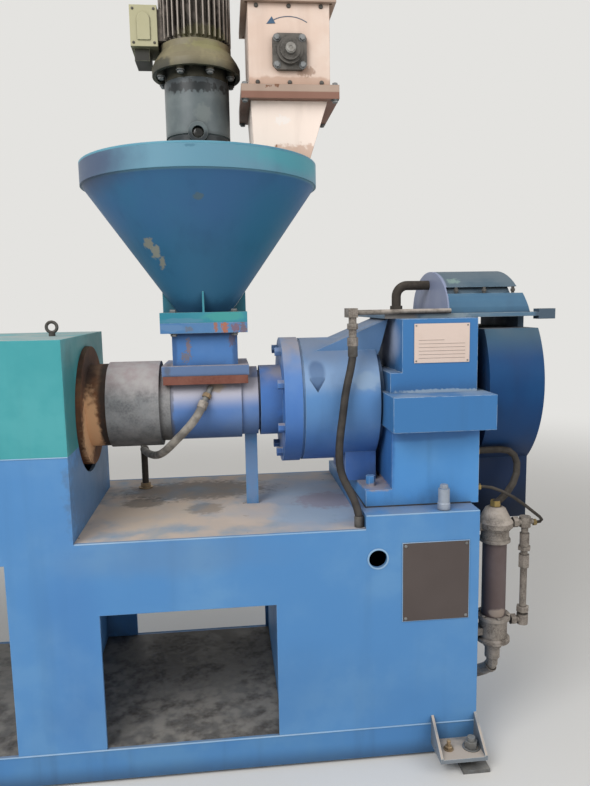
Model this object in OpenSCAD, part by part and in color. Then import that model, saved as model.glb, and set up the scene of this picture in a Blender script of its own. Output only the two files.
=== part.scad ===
// Plastic extruder: raised bed, covered barrel, feed hopper with agitator drive,
// rotary feeder, gearbox and belt guard.
// Lengths are in millimetres. Pieces are drawn about the barrel axis: x runs along the
// barrel towards the gearbox from the hopper axis, y away from the front, z up from the floor.

/* [Bed] */
// Length of the bed along the barrel
bed_length = 3000; // [2800:10:3600]
// Depth of the bed from front to back
bed_depth = 720; // [690:10:800]
// Distance from the bed's front to the barrel axis
front_to_axis = 330; // [320:5:350]
// Distance from the hopper axis to the bed's right end
axis_to_right_end = 816; // [810:2:830]
// Height of the table under the feed throat
table_height = 750; // [740:5:760]
// Thickness of the bed's plates
plate = 12; // [8:1:16]
// Height of the pad under the gearbox
pad_rise = 42; // [30:1:50]
// Length of the pad under the gearbox
pad_length = 351; // [340:1:360]
// Distance from the hopper axis to the raised end wall
wall_to_axis = 386; // [380:2:400]
// Depth of the raised part and its cover
raised_depth = 620; // [600:10:640]
// Height of the bed's floor plate above the floor
bed_floor_height = 107; // [90:1:120]
// Gap between the bed's lower edge and the floor
skirt_gap = 10; // [6:1:16]

/* [Bed openings] */
// Width of the opening under the table
bay_width = 517; // [480:1:530]
// Drop from the table to the top of that opening
bay_head = 219; // [200:1:240]
// Distance from the hopper axis to the left edge of that opening
bay_left = 325; // [310:1:330]
// Width of each tall opening in the raised part
tall_bay_width = 660; // [600:10:690]
// Drop from the table to the top of the tall openings
tall_bay_head = 53; // [40:1:80]
// Width of the post between the table's opening and the tall ones
bay_post = 256; // [240:1:270]
// Width of the post between the tall openings
tall_post = 128; // [110:1:140]
// Radius of the small round hole in the front
peep_radius = 28; // [20:1:35]

/* [Feet] */
// Width of each foot bracket
foot_width = 146; // [120:2:160]
// Reach of each foot bracket from the bed
foot_reach = 100; // [80:2:110]
// Height of each foot bracket's base plate above the floor
foot_lift = 40; // [30:1:50]
// Radius of the bolt holes in the foot brackets
foot_hole_radius = 9; // [7:0.5:10]
// Diameter of the levelling bolts
level_bolt = 24; // [20:1:26]

/* [Barrel] */
// Height of the barrel axis above the table
axis_over_table = 355; // [345:1:370]
// Screw bore radius
bore_radius = 45; // [35:1:50]
// Outer radius of the barrel tube
barrel_radius = 80; // [70:1:90]
// Length of barrel that stands out of the cover
barrel_overhang = 150; // [120:5:200]
// Radius of the rusty flange in the cover's hole
disc_radius = 192; // [184:1:196]
// Radius of the grey jacket beside the hopper
jacket_radius = 139; // [130:1:142]
// Length of the grey jacket
jacket_length = 163; // [150:1:175]
// Radius of the feed housing
housing_radius = 122; // [115:1:125]
// Length of the feed housing
housing_length = 224; // [220:1:230]
// Radius of the die flange
die_flange_radius = 150; // [140:1:160]
// Thickness of the die flange
die_flange_thickness = 45; // [35:1:55]
// Radius of the recess that seats the die
die_seat_radius = 60; // [50:1:75]
// Radius of the die flange's bolt circle
die_bolt_circle = 120; // [112:1:125]
// Radius of the die flange's bolt holes
die_bolt_radius = 9; // [6:0.5:10]
// Number of bolts round the die flange
die_bolts = 8; // [6:1:10]

/* [Cover] */
// Rise of the sheet cover above the barrel axis
cover_rise = 230; // [220:1:245]
// Drop from the barrel axis to the cover's lower edge
cover_drop = 100; // [90:1:110]
// Thickness of the cover's sheet
cover_sheet = 3; // [2:0.5:5]
// Radius of the round hole in the cover's end
cover_hole = 205; // [200:1:208]

/* [Gearbox] */
// Radius of the bell between barrel and gearbox
bell_radius = 207; // [200:1:210]
// Distance from the hopper axis to the bell's flange
bell_start = 241; // [235:1:245]
// Thickness of the bell's flange
bell_flange = 56; // [50:1:60]
// Distance from the hopper axis to the gear case
case_start = 563; // [555:1:570]
// Length of the lower gear case
case_length = 278; // [270:1:284]
// Depth of the lower gear case
case_depth = 500; // [480:2:510]
// Drop from the barrel axis to the underside of the gear case's joint flange
joint_drop = 67; // [60:1:72]
// Height of the joint flange
joint_height = 106; // [100:1:110]
// Height of the upper gear case above the joint flange
upper_height = 226; // [218:1:236]
// Depth of the upper gear case
upper_depth = 460; // [440:2:480]

/* [Belt guard] */
// Radius of the round belt guard
guard_radius = 325; // [315:1:330]
// Width of the belt guard
guard_width = 177; // [165:1:180]
// Distance from the barrel axis back to the guard's centre
guard_back = 80; // [76:1:84]
// Rise of the guard's centre above the barrel axis
guard_rise = 45; // [40:1:50]

/* [Hopper] */
// Radius of the hopper's rim
rim_radius = 369; // [360:1:375]
// Height of the hopper's rim band
rim_height = 66; // [55:1:80]
// Height of the cone between its flange and the rim band
cone_height = 387; // [370:1:410]
// Radius of the cone's outlet
outlet_radius = 88; // [84:1:100]
// Thickness of the hopper's sheet
hopper_sheet = 4; // [3:0.5:6]
// Side of the square flange under the hopper
hopper_flange = 268; // [262:1:274]
// Side of the square throat duct
duct_side = 204; // [196:1:208]
// Height of the square throat duct
duct_height = 102; // [90:1:120]
// Radius of the opening through the throat
throat_radius = 80; // [60:1:85]

/* [Agitator drive] */
// Radius of the gear unit on the lid
gear_unit_radius = 100; // [90:1:104]
// Height of the gear unit
gear_unit_height = 247; // [235:1:255]
// Radius of the motor's flange
motor_flange_radius = 136; // [130:1:140]
// Radius over the motor's fins
motor_radius = 110; // [104:1:112]
// Height of the casting between gear unit and motor
motor_flange_height = 107; // [100:1:115]
// Length of the finned part of the motor
motor_length = 283; // [240:1:300]
// Number of fins round the motor
fin_count = 36; // [24:2:40]
// Length of the fan cowl
cowl_length = 92; // [80:1:110]

/* [Rotary feeder] */
// Distance from the hopper axis to the feeder's axis
feeder_offset = 280; // [276:1:282]
// Width of the feeder's box
feeder_width = 243; // [238:1:246]
// Depth of the feeder's box
feeder_depth = 260; // [250:1:270]
// Height of the feeder's box
feeder_height = 233; // [230:1:240]
// Height of the chute between hopper lid and feeder
chute_height = 173; // [160:1:185]
// Radius of the bore that the vanes turn in
vane_bore = 86; // [80:1:90]
// Number of vanes on the rotor
vane_count = 6; // [4:1:8]
// Radius of the rotor's shaft
shaft_radius = 15; // [12:1:18]

/* [Oil cooler] */
// Radius of the cooler's shell
cooler_radius = 38; // [36:1:42]
// Distance from the bed's end to the cooler's centre
cooler_offset = 90; // [88:1:96]
// Length of the cooler's shell
cooler_length = 248; // [220:1:260]

/* [Hidden] */
$fn = 96;
fit = 0.3;
past = 1;

axis_height = table_height + axis_over_table;
bed_right = axis_to_right_end;
bed_left = bed_right - bed_length;
bed_front_y = -front_to_axis;
bed_back_y = bed_front_y + bed_depth;
inner_front = bed_front_y + plate;
inner_back = bed_back_y - plate;
pad_start = bed_right - pad_length;
pad_top = table_height + pad_rise;
wall_x = -wall_to_axis;
raised_back = bed_front_y + raised_depth;
raised_height = axis_height - cover_drop;
bay_top = table_height - bay_head;
bay_start = -bay_left;
bay_end = bay_start + bay_width;
tall_bay_top = table_height - tall_bay_head;
tall_bay_ends = [bay_start - bay_post, bay_start - bay_post - tall_bay_width - tall_post];
wall_starts = [
    bed_left, tall_bay_ends[1] + tall_post / 2, bay_start - bay_post / 2, bay_end + plate,
    bed_right - plate
];
cover_top = axis_height + cover_rise;
peep_inset = 315;
peep_drop = 94;
peep_place = [bed_right - peep_inset, table_height - peep_drop];
panel_inset = 136;
panel_drop = 173;
panel_thickness = 3;
panel_size = [207, 248];
panel_place = [bed_right - panel_inset, table_height - panel_drop];

foot_starts = [
    bed_right - foot_width, tall_bay_ends[1] + (tall_post - foot_width) / 2, bed_left
];
foot_height = 95;
foot_plate = 12;
foot_gusset = 8;
foot_lip = 4;
foot_bolt_inset = [34, 40];
pad_thickness = 12;
pad_side = 84;
nut_radius = 20;
nut_height = 22;
bolt_end = 34;

barrel_end = bed_left - barrel_overhang;
housing_shift = 2;
housing_start = -housing_length / 2 - housing_shift;
housing_end = housing_start + housing_length;
ring_width = 34;
ring_step = 2;
ring_radius = housing_radius + ring_step;
jacket_end = housing_start - ring_width;
jacket_start = jacket_end - jacket_length;
disc_thickness = 36;
disc_proud = 14;
disc_clearance = 1;
disc_end = wall_x + disc_proud;
disc_hub_radius = 134;
hole_height = axis_height + disc_radius + disc_clearance - cover_hole;
eye_inset = [88, 60];
eye_radius = 16;
eye_wire = 5;
saddle_width = 60;
saddle_depth = 140;
saddle_insets = [300, 340];
block_length = 271;
block_depth = 260;
block_rise = 8;
block_thickness = 31;
block_top = axis_height + housing_radius + block_rise;
block_base = block_top - block_thickness;
flange_ring_radius = 113;
flange_ring_width = 54;
spigot_radius = 100;
spigot_width = 7;
bar_depth = 33;
bar_height = 26;
bar_overhang = 6;
bar_inset = 4;
feed_wall = 20;
post_side = 40;
post_inset = 10;
post_back = 10;
post_drop = 40;
neck_start = housing_end + flange_ring_width + spigot_width;
neck_radius = 116;

bell_joint = bell_start + bell_flange;
bell_bolts = 8;
bell_bolt_circle = 178;
bell_bolt_radius = 15;
bell_bolt_height = 20;
bell_gap = 22;
bell_end = case_start - bell_gap;
bell_neck_radius = 160;
groove_width = 8;
groove_depth = 3;
web_half_depth = 118;
web_reach = 220;
web_start = case_start - web_reach;
web_overlap = 20;
web_tip = case_start + web_overlap;
web_step = [7, 30];
web_rise = 264;
web_foot = sqrt(pow(bell_radius - groove_depth, 2) - pow(web_half_depth, 2)) - 1;
pocket_inset = 243;
pocket_start = case_start - pocket_inset;
pocket_width = 47;
pocket_rise = 138;
pocket_shoulder = 82;
pocket_tip = 44;
pocket_depth = 24;
pedestal_length = 122;
pedestal_start = case_start - pedestal_length;
pedestal_half_depth = 122;
pedestal_rise = 150;

joint_base = axis_height - joint_drop;
joint_top = joint_base + joint_height;
joint_reach = [15, 22];
upper_top = joint_top + upper_height;
upper_step = 62;
upper_inset = 37;
upper_cut = 3;
case_end = case_start + case_length;
case_base_height = 54;
case_base_reach = 82;
base_bolt_inset = [28, 60];
base_bolt_radius = 15;
base_bolt_height = 32;
jack_inset = 129;
jack_radius = 15.5;
jack_height = 66;
plate_corner = [74, 15];
plate_size = [174, 120];
plate_thickness = 2;

guard_gap = 33;
guard_start = case_end + guard_gap;
guard_end = guard_start + guard_width;
guard_height = axis_height + guard_rise;
guard_top_drop = 37;
guard_flat = upper_top - guard_top_drop;
guard_tail_front = -135;
guard_tail_drop = 450;
top_plate_thickness = 13;
top_plate_inset = [3, 80];
top_plate_front = -upper_depth / 2 + top_plate_inset[1];
top_plate_depth = 440;
top_plate_start = case_start + top_plate_inset[0];
top_plate_overhang = 20;
top_plate_end = guard_end + top_plate_overhang;
bar_end_size = [55, 40, 33];
bar_end_rise = 10;
hanger_width = 20;
hood_inset = 213;
hood_start = case_start + hood_inset;
hood_length = [274, 257];
hood_base = upper_top + top_plate_thickness;
hood_middle = 71;
hood_radius = 201;
hood_rise = 140;
hood_split = 62;
hood_gap = 21;
hood_lid_length = [244, 235];
hood_end_plate = 5;
hood_core_inset = 14;
elbow_radius = 38;
elbow_pipe = 16;
elbow_rise = 95;
elbow_run = 115;
elbow_gland = [22, 26];

duct_flange = 32;
flange_plate = 32;
duct_top = block_top + duct_height;
outlet_height = duct_top + duct_flange + flange_plate;
cone_base = outlet_height + cone_height;
lid_height = cone_base + rim_height;
rim_band = 6;
lid_plate = 6;
gusset = 6;
gear_top = lid_height + gear_unit_height;
gear_step = 85;
sight_radius = [30, 18];
sight_length = [22, 8];
motor_base = gear_top + motor_flange_height;
motor_core = 92;
fin_thickness = 4;
fin_end = 10;
motor_pad = [46, 100];
lug_count = 8;
lug_radius = 12;
rim_lift = 24;
rim_depth = 22;
slot_count = 16;
slot_size = [64, 7, 8];
box_size = [81, 120, 117];
box_drop = 11;
gland_size = [45, 90, 37];

flange_thickness = 20;
feeder_base = lid_height + chute_height + 2 * flange_thickness;
bore_floor = 8;
feeder_axis = feeder_base + vane_bore + bore_floor;
feeder_port = [150, 190];
feeder_end_wall = 18;
lower_flange = [293, 300];
upper_flange = [280, 290];
inlet_bolts = [250, 260];
inlet_bolt_radius = 5.5;
vane_clearance = 5;
shaft_clearance = 0.05;
bearing_side = 102;
bearing_plate = 14;
bearing_corner = 14;
bearing_boss = [38, 30];
bearing_height = 34;
shaft_overhang = 12;
hub_radius = 32;
vane_thickness = 8;
chute_wall = 4;
chute_foot = [-109, 59];
chute_head = [-118, 114];
chute_depth = [190, 250];

cooler_x = bed_right + cooler_offset;
cooler_front = 100;
cooler_y = bed_front_y + cooler_front;
cooler_drop = 341;
cooler_base = table_height - cooler_drop;
cooler_top = cooler_base + cooler_length;
cooler_place = [cooler_x, cooler_y, cooler_top];
cooler_ring = 12;
collar_radius = 44;
collar_ring = [5, 8, 2];
collar_height = 49;
head_radius = 56;
head_shoulder = [48, 32, 22];
head_rise = [16, 26, 58, 64];
foot_head_radius = [54, 45];
foot_head_drop = [4, 62, 66, 76];
nipple_radius = [29, 24];
nipple_drop = [98, 100, 136];
bracket_size = [20, 12];
bracket_inset = 10;
bracket_place = [40, 4];
bypass_reach = 100;
bypass_x = cooler_x + bypass_reach;
bypass_pipe = 11;
bypass_gap = 2.3;
bypass_rise = [24, 8];
bypass_end = 12;
tee_radius = 18;
tee_length = 34;
valve_drop = [82, 94, 152];
valve_height = [44, 12, 42];
union_rise = [26, 16];
boss_size = [26, 9];
hex_step = 3;

oil_place = [pad_start - 15, -upper_depth / 2, table_height];
oil_route = [for (p = [
    [0, 18, 541], [0, 18, 514], [-8, 12, 472], [-19, 4, 430], [-28, -2, 390], [-37, -8, 330],
    [-45, -13, 280], [-50, -18, 235], [-51, -22, 195], [-47, -28, 162], [-37, -36, 132],
    [-24, -45, 105], [-12, -54, 78], [-4, -62, 50], [0, -69, 25], [0, -69, 0]
]) oil_place + p];
oil_hose_radius = 12;
oil_fitting_radius = 12;
oil_fitting_hex = 17;
oil_nut_height = [26, 18];
oil_nut_drop = 50;
oil_feed_block = 28;
oil_feed_reach = 212;
oil_feed_end = case_start + oil_feed_reach;
oil_feed_radius = 8;
oil_pipe_start = [case_end, cooler_y + 38, table_height + 195];
oil_pipe_route = concat([oil_pipe_start, oil_pipe_start + [25, 0, 0]], [for (p = [
    [-6, 38, 288], [30, 38, 288], [56, 37, 283], [74, 35, 268], [82, 31, 243], [79, 26, 211],
    [64, 18, 179], [40, 9, 151], [16, 2, 133], [0, 0, 124], [0, 0, 113]
]) cooler_place + p]);
oil_pipe_radius = 11;
thin_start = [case_end, cooler_y - 6, table_height + 88];
thin_route = concat([thin_start, thin_start + [19, 0, 0]], [for (p = [
    [-20, -15, 179], [8, -26, 169], [44, -32, 150], [84, -32, 121], [116, -30, 95],
    [136, -26, 79], [147, -18, 67], [146, -8, 57], [137, 0, 53], [126, 0, 53]
]) cooler_place + p]);
thin_radius = 5;
cooler_elbow_route = [for (p = [
    [0, 0, 0], [0, 0, -21], [-4, 12, -43], [-16, 31, -62], [-34, 43, -74], [-56, 48, -79],
    [-74, 49, -80], [-90, 49, -80]
]) p + [cooler_x, cooler_y, cooler_base - cooler_ring - nipple_drop[2]]];
cooler_elbow_radius = 19;
cooling_place = [0, 0, axis_height];
cooling_start = cooling_place + [14, -108, 61];
cooling_route = [for (p = [
    [-8, -134, 17], [-19, -147, -5], [-41, -156, -38], [-67, -156, -67], [-94, -142, -95],
    [-119, -114, -123], [-142, -70, -149], [-166, -10, -172], [-190, 55, -188], [-211, 112, -196],
    [-228, 160, -199], [-238.5, 196.5, -200], [-243, 222, -200]
]) cooling_place + p];
cooling_hose_radius = 13;
cooling_barb_radius = 9;
cooling_pipe_place = [-249, 256];
cooling_pipe_radius = [12, 10];
cooling_pipe_rise = 16;
hose_sides = 10;

right_reach = top_plate_end + bar_end_size[0];
front_reach = bed_front_y - foot_reach;
back_reach = bed_back_y + foot_reach;
mid_x = (barrel_end - die_flange_thickness + right_reach) / 2;
mid_y = (front_reach + back_reach) / 2;

// Helpers
module placed() {
    translate([-mid_x, -mid_y, 0]) children();
}

module span(low, high) {
    translate(low) cube(high - low);
}

module round_x(start, end, radius) {
    translate([start, 0, axis_height]) rotate([0, 90, 0]) cylinder(h = end - start, r = radius);
}

module ring_x(start, end, outer, inner) {
    difference() {
        round_x(start, end, outer);
        round_x(start - past, end + past, inner);
    }
}

module upright_plate(front, thickness) {
    translate([0, front + thickness, 0]) rotate([90, 0, 0]) linear_extrude(thickness) children();
}

module side_profile(start, length) {
    translate([start, 0, 0]) rotate([90, 0, 90]) linear_extrude(length) children();
}

module rotate_about_axis(angle) {
    translate([0, 0, axis_height]) rotate([angle, 0, 0]) translate([0, 0, -axis_height]) children();
}

module rod(start, end, radius) {
    way = end - start;
    translate(start) rotate([0, acos(way[2] / norm(way)), atan2(way[1], way[0])])
        cylinder(h = norm(way), r = radius);
}

module hex_head(height, radius) {
    cylinder(h = height, r = radius, $fn = 6);
}

function unit(v) = v / norm(v);
function heading(path, i) = unit(path[min(i + 1, len(path) - 1)] - path[max(i - 1, 0)]);
function side_of(path, i) = unit(cross(heading(path, i), [0, 1, 0]));
function ring_point(path, i, radius, angle) =
    path[i] + radius * (cos(angle) * side_of(path, i)
    + sin(angle) * cross(heading(path, i), side_of(path, i)));

module hose(path, radius, sides) {
    last = (len(path) - 1) * sides;
    points = [for (i = [0 : len(path) - 1], j = [0 : sides - 1])
        ring_point(path, i, radius, 360 * j / sides)];
    walls = [for (i = [0 : len(path) - 2], j = [0 : sides - 1])
        let (here = i * sides, next = here + sides, after = (j + 1) % sides)
        [here + j, here + after, next + after, next + j]];
    start_cap = [[for (j = [0 : sides - 1]) sides - 1 - j]];
    end_cap = [[for (j = [0 : sides - 1]) last + j]];
    polyhedron(points, concat(walls, start_cap, end_cap));
}

// Bed
module bed_outline(back) {
    top = back ? table_height : raised_height;
    polygon([
        [bed_left, bed_floor_height], [bed_right, bed_floor_height], [bed_right, pad_top],
        [pad_start, pad_top], [pad_start, table_height], [wall_x, table_height], [wall_x, top],
        [bed_left, top]
    ]);
}

module bay_outline(start, width, top) {
    translate([start, bed_floor_height - past]) square([width, top - bed_floor_height + past]);
}

module bay_outlines() {
    bay_outline(bay_start, bay_width, bay_top);
    for (end = tall_bay_ends)
        bay_outline(end - tall_bay_width, tall_bay_width, tall_bay_top);
}

module bed_front() {
    color("#4f88c2") placed() upright_plate(bed_front_y, plate) difference() {
        bed_outline(false);
        bay_outlines();
        translate(peep_place) circle(r = peep_radius);
    }
}

module bed_back() {
    color("#4f88c2") placed() upright_plate(inner_back, plate) difference() {
        bed_outline(true);
        bay_outlines();
    }
}

module base_rails() {
    color("#4f88c2") placed() for (y = [bed_front_y, inner_back])
        span([bed_left, y, skirt_gap], [bed_right, y + plate, bed_floor_height]);
}

module bed_cross_walls() {
    color("#4a7fb6") placed() for (start = wall_starts)
        span([start, inner_front, skirt_gap], [start + plate, inner_back, table_height - plate]);
}

module bed_deck() {
    color("#6f93ad") placed()
        span([bed_left, inner_front, table_height - plate], [bed_right, inner_back, table_height]);
}

module bed_floor() {
    color("#6b6f70") placed() for (i = [0 : len(wall_starts) - 2])
        span([wall_starts[i] + plate, inner_front, bed_floor_height - plate],
            [wall_starts[i + 1], inner_back, bed_floor_height]);
}

module cover_hole_at(start, end) {
    translate([0, 0, hole_height - axis_height]) round_x(start, end, cover_hole);
}

module raised_walls() {
    color("#4f88c2") placed() difference() {
        span([bed_left, inner_front, table_height], [wall_x, raised_back, raised_height]);
        span([bed_left + plate, inner_front - past, table_height - past],
            [wall_x - plate, raised_back - plate, raised_height + past]);
        cover_hole_at(bed_left - past, wall_x + past);
    }
}

module gear_pad() {
    color("#4f88c2") placed()
        span([pad_start, inner_front, table_height], [bed_right, inner_back, pad_top]);
}

module access_panel() {
    color("#5a504d") placed() upright_plate(bed_front_y - panel_thickness, panel_thickness)
        translate(panel_place - panel_size / 2) square(panel_size);
}

// Feet
module at_feet() {
    for (start = foot_starts) {
        translate([start, bed_front_y, 0]) children();
        translate([start, bed_back_y, 0]) mirror([0, 1, 0]) children();
    }
}

module foot_gusset_outline() {
    polygon([
        [0, 0], [-foot_reach, 0], [-foot_reach, foot_plate + foot_lip], [0, foot_height]
    ]);
}

module foot_bracket() {
    difference() {
        union() {
            span([0, -foot_reach, foot_lift], [foot_width, 0, foot_lift + foot_plate]);
            for (x = [0, foot_width - foot_gusset])
                translate([x, 0, foot_lift]) rotate([90, 0, 90]) linear_extrude(foot_gusset)
                    foot_gusset_outline();
        }
        translate([foot_width - foot_bolt_inset[0], -foot_reach / 2, 0])
            cylinder(h = foot_height * 2, r = level_bolt / 2 + fit);
        translate([foot_bolt_inset[1], -foot_reach / 2, 0])
            cylinder(h = foot_height * 2, r = foot_hole_radius);
    }
}

module foot_brackets() {
    color("#5f8aa8") placed() at_feet() foot_bracket();
}

module levelling_foot() {
    plate_top = foot_lift + foot_plate;
    translate([foot_width - foot_bolt_inset[0], -foot_reach / 2, 0]) {
        translate([-pad_side / 2, -foot_reach / 2, 0])
            cube([pad_side, foot_reach - fit, pad_thickness]);
        cylinder(h = plate_top + bolt_end, r = level_bolt / 2);
        translate([0, 0, plate_top]) hex_head(nut_height, nut_radius);
        translate([0, 0, pad_thickness]) hex_head(foot_lift - pad_thickness, nut_radius);
    }
}

module levelling_feet() {
    color("#8d8f90") placed() at_feet() levelling_foot();
}

// Cover and barrel
module barrel_cover() {
    color("#4fb0b8") placed() difference() {
        span([bed_left, bed_front_y, raised_height], [wall_x, raised_back, cover_top]);
        span([bed_left + cover_sheet, bed_front_y + cover_sheet, raised_height - past],
            [wall_x - cover_sheet, raised_back - cover_sheet, cover_top - cover_sheet]);
        cover_hole_at(bed_left - past, wall_x + past);
    }
}

module cover_ring() {
    base = 10;
    stem = 14;
    color("#4b5a5c") placed() translate([wall_x - eye_inset[0], -eye_inset[1], cover_top]) {
        cylinder(h = base, r = 2 * eye_wire);
        cylinder(h = stem, r = eye_wire);
        translate([0, 0, stem + eye_radius - 2]) rotate([90, 0, 0])
            rotate_extrude() translate([eye_radius, 0]) circle(r = eye_wire, $fn = 24);
    }
}

module barrel() {
    color("#8b8b86") placed() ring_x(barrel_end, housing_start, barrel_radius, bore_radius);
}

module barrel_saddles() {
    color("#3d5f80") placed()
        for (x = [bed_left + saddle_insets[0], wall_x - saddle_insets[1] - saddle_width]) difference() {
            span([x, -saddle_depth / 2, table_height],
                [x + saddle_width, saddle_depth / 2, axis_height - barrel_radius / 4]);
            round_x(x - past, x + saddle_width + past, barrel_radius + fit);
        }
}

module die_flange() {
    start = barrel_end - die_flange_thickness;
    color("#77736c") placed() difference() {
        round_x(start, barrel_end, die_flange_radius);
        round_x(start - past, barrel_end + past, die_seat_radius);
        for (i = [0 : die_bolts - 1])
            rotate_about_axis(360 * i / die_bolts) translate([0, die_bolt_circle, 0])
                round_x(start - past, barrel_end + past, die_bolt_radius);
    }
}

module barrel_flange() {
    color("#6b4a35") placed() difference() {
        union() {
            round_x(disc_end - disc_thickness, disc_end, disc_radius);
            round_x(disc_end, jacket_start, disc_hub_radius);
        }
        round_x(disc_end - disc_thickness - past, jacket_start + past, barrel_radius + fit);
    }
}

module barrel_jacket() {
    color("#8b8b86") placed() difference() {
        union() {
            round_x(jacket_start, jacket_end, jacket_radius);
            round_x(jacket_end, housing_start, ring_radius);
        }
        round_x(jacket_start - past, housing_start + past, barrel_radius + fit);
        throat_block();
        bars();
    }
}

module throat_block() {
    span([-block_length / 2, -block_depth / 2, block_base],
        [block_length / 2, block_depth / 2, block_top]);
}

module bars() {
    front = -block_depth / 2 - bar_overhang;
    for (y = [front, -front - bar_depth])
        span([-block_length / 2 + bar_inset, y, block_base - bar_height],
            [block_length / 2 - bar_inset, y + bar_depth, block_base]);
}

module feed_housing() {
    color("#5b80b8") placed() difference() {
        union() {
            round_x(housing_start, housing_end, housing_radius);
            round_x(housing_end, housing_end + flange_ring_width, flange_ring_radius);
            round_x(housing_end + flange_ring_width, neck_start, spigot_radius);
            throat_block();
        }
        translate([0, 0, axis_height]) cylinder(h = block_top, r = throat_radius);
        round_x(housing_start - past, housing_end - feed_wall, bore_radius);
    }
}

module feed_bars() {
    color("#8a4a3c") placed() difference() {
        bars();
        round_x(housing_start, housing_end, housing_radius + fit);
    }
}

module bored_square(side, base, height) {
    difference() {
        span([-side / 2, -side / 2, base], [side / 2, side / 2, base + height]);
        translate([0, 0, base - past]) cylinder(h = height + 2 * past, r = throat_radius);
    }
}

module throat_duct() {
    color("#4f79b4") placed() bored_square(duct_side, block_top, duct_height);
}

module throat_flange() {
    color("#3f74ad") placed() bored_square(hopper_flange, duct_top, duct_flange);
}

module support_post() {
    start = housing_end + post_inset;
    color("#4b78a6") placed() difference() {
        span([start, post_back - post_side / 2, table_height],
            [start + post_side, post_back + post_side / 2, axis_height - post_drop]);
        round_x(housing_end, housing_end + flange_ring_width, flange_ring_radius + fit);
    }
}

module drive_neck() {
    color("#4775b8") placed() {
        round_x(neck_start, bell_start, neck_radius);
        round_x(bell_start, bell_joint, bell_radius);
        for (i = [0 : bell_bolts - 1])
            rotate_about_axis(360 * (i + 0.5) / bell_bolts)
                translate([bell_start - bell_bolt_height, 0, axis_height + bell_bolt_circle])
                    rotate([0, 90, 0]) hex_head(bell_bolt_height + past, bell_bolt_radius);
    }
}

module pocket_outline() {
    arch = pocket_width / 2;
    translate([pocket_start, axis_height]) {
        translate([arch, pocket_rise - arch / 2]) circle(r = arch);
        polygon([
            [0, pocket_rise - arch / 2], [0, pocket_shoulder], [arch, pocket_tip],
            [pocket_width, pocket_shoulder], [pocket_width, pocket_rise - arch / 2]
        ]);
    }
}

module web_outline() {
    polygon([
        [web_start, axis_height + web_foot], [web_start + web_foot, axis_height],
        [bell_end, axis_height], [bell_end, axis_height + web_foot - web_step[1]],
        [case_start - web_step[0], axis_height + web_foot], [web_tip, axis_height + web_rise]
    ]);
}

module lantern() {
    color("#3f7cc0") placed() difference() {
        union() {
            round_x(bell_joint, bell_joint + groove_width, bell_radius - 2 * groove_depth);
            round_x(bell_joint + groove_width, bell_end, bell_radius - groove_depth);
            round_x(bell_end, case_start, bell_neck_radius);
            upright_plate(-web_half_depth, 2 * web_half_depth) web_outline();
            span([pedestal_start, -pedestal_half_depth, pad_top + case_base_height],
                [bell_end, pedestal_half_depth, axis_height - pedestal_rise]);
        }
        upright_plate(-bell_radius - past, pocket_depth + past) pocket_outline();
    }
}

// Gearbox
module gearbox_lower() {
    base_start = case_start - case_base_reach;
    base_top = pad_top + case_base_height;
    color("#4f8cc8") placed() {
        span([case_start, -case_depth / 2, pad_top], [case_end, case_depth / 2, joint_base]);
        span([base_start, -case_depth / 2, pad_top], [case_end, case_depth / 2, base_top]);
        for (side = [-1, 1]) {
            translate([base_start + base_bolt_inset[0], side * (case_depth / 2 - base_bolt_inset[1]),
                base_top]) hex_head(base_bolt_height, base_bolt_radius);
            translate([case_end - jack_inset, side * (front_to_axis - plate - jack_radius - past),
                pad_top]) cylinder(h = jack_height, r = jack_radius);
        }
    }
}

module gearbox_joint() {
    start = case_start - joint_reach[0];
    color("#5090cc") placed() difference() {
        span([start, bed_front_y, joint_base], [case_end + joint_reach[1], front_to_axis, joint_top]);
        round_x(start - past, case_start, bell_neck_radius + fit);
    }
}

module gearbox_upper() {
    front = -upper_depth / 2;
    color("#4f8cc8") placed() upright_plate(front, upper_depth) polygon([
        [case_start, joint_top], [case_end - upper_cut, joint_top], [case_end - upper_cut, upper_top],
        [case_start + upper_inset, upper_top], [case_start + upper_inset, joint_top + upper_step],
        [case_start, joint_top + upper_step]
    ]);
}

module nameplate() {
    left = case_start + plate_corner[0];
    top = upper_top - plate_corner[1];
    color("#dcc8bc") placed() upright_plate(-upper_depth / 2 - plate_thickness, plate_thickness)
        translate([left, top - plate_size[1]]) square(plate_size);
}

module top_plate() {
    bar_base = hood_base + bar_end_rise - bar_end_size[2];
    back = top_plate_front + top_plate_depth;
    color("#4d8aa8") placed() {
        span([top_plate_start, top_plate_front, upper_top], [top_plate_end, back, hood_base]);
        translate([top_plate_end, top_plate_front, bar_base]) cube(bar_end_size);
        for (x = [guard_start, guard_end - hanger_width])
            span([x, guard_back - guard_radius / 2, guard_flat],
                [x + hanger_width, guard_back + guard_radius / 2, upper_top]);
    }
}

module belt_guard() {
    back = guard_back + guard_radius;
    color("#1f5a96") placed() side_profile(guard_start, guard_width) intersection() {
        union() {
            translate([guard_back, guard_height]) circle(r = guard_radius);
            polygon([
                [guard_tail_front, guard_height - guard_radius / 2],
                [guard_tail_front, guard_height - guard_tail_drop],
                [back, guard_height - guard_tail_drop], [back, guard_height]
            ]);
        }
        translate([-2 * guard_radius, 0]) square([4 * guard_radius, guard_flat]);
    }
}

function arch_points(shrink) = [for (angle = [0 : 7.5 : 180])
    [hood_middle + (hood_radius - shrink) * cos(angle), hood_base + (hood_rise - shrink) * sin(angle)]];

module hood_form(start, ends, base, top, shrink) {
    intersection() {
        side_profile(hood_start + start, hood_length[0]) polygon(arch_points(shrink));
        upright_plate(hood_middle - hood_radius, 2 * hood_radius) polygon([
            [hood_start + start, base], [hood_start + ends[0], base], [hood_start + ends[1], top],
            [hood_start + start, top]
        ]);
    }
}

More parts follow.
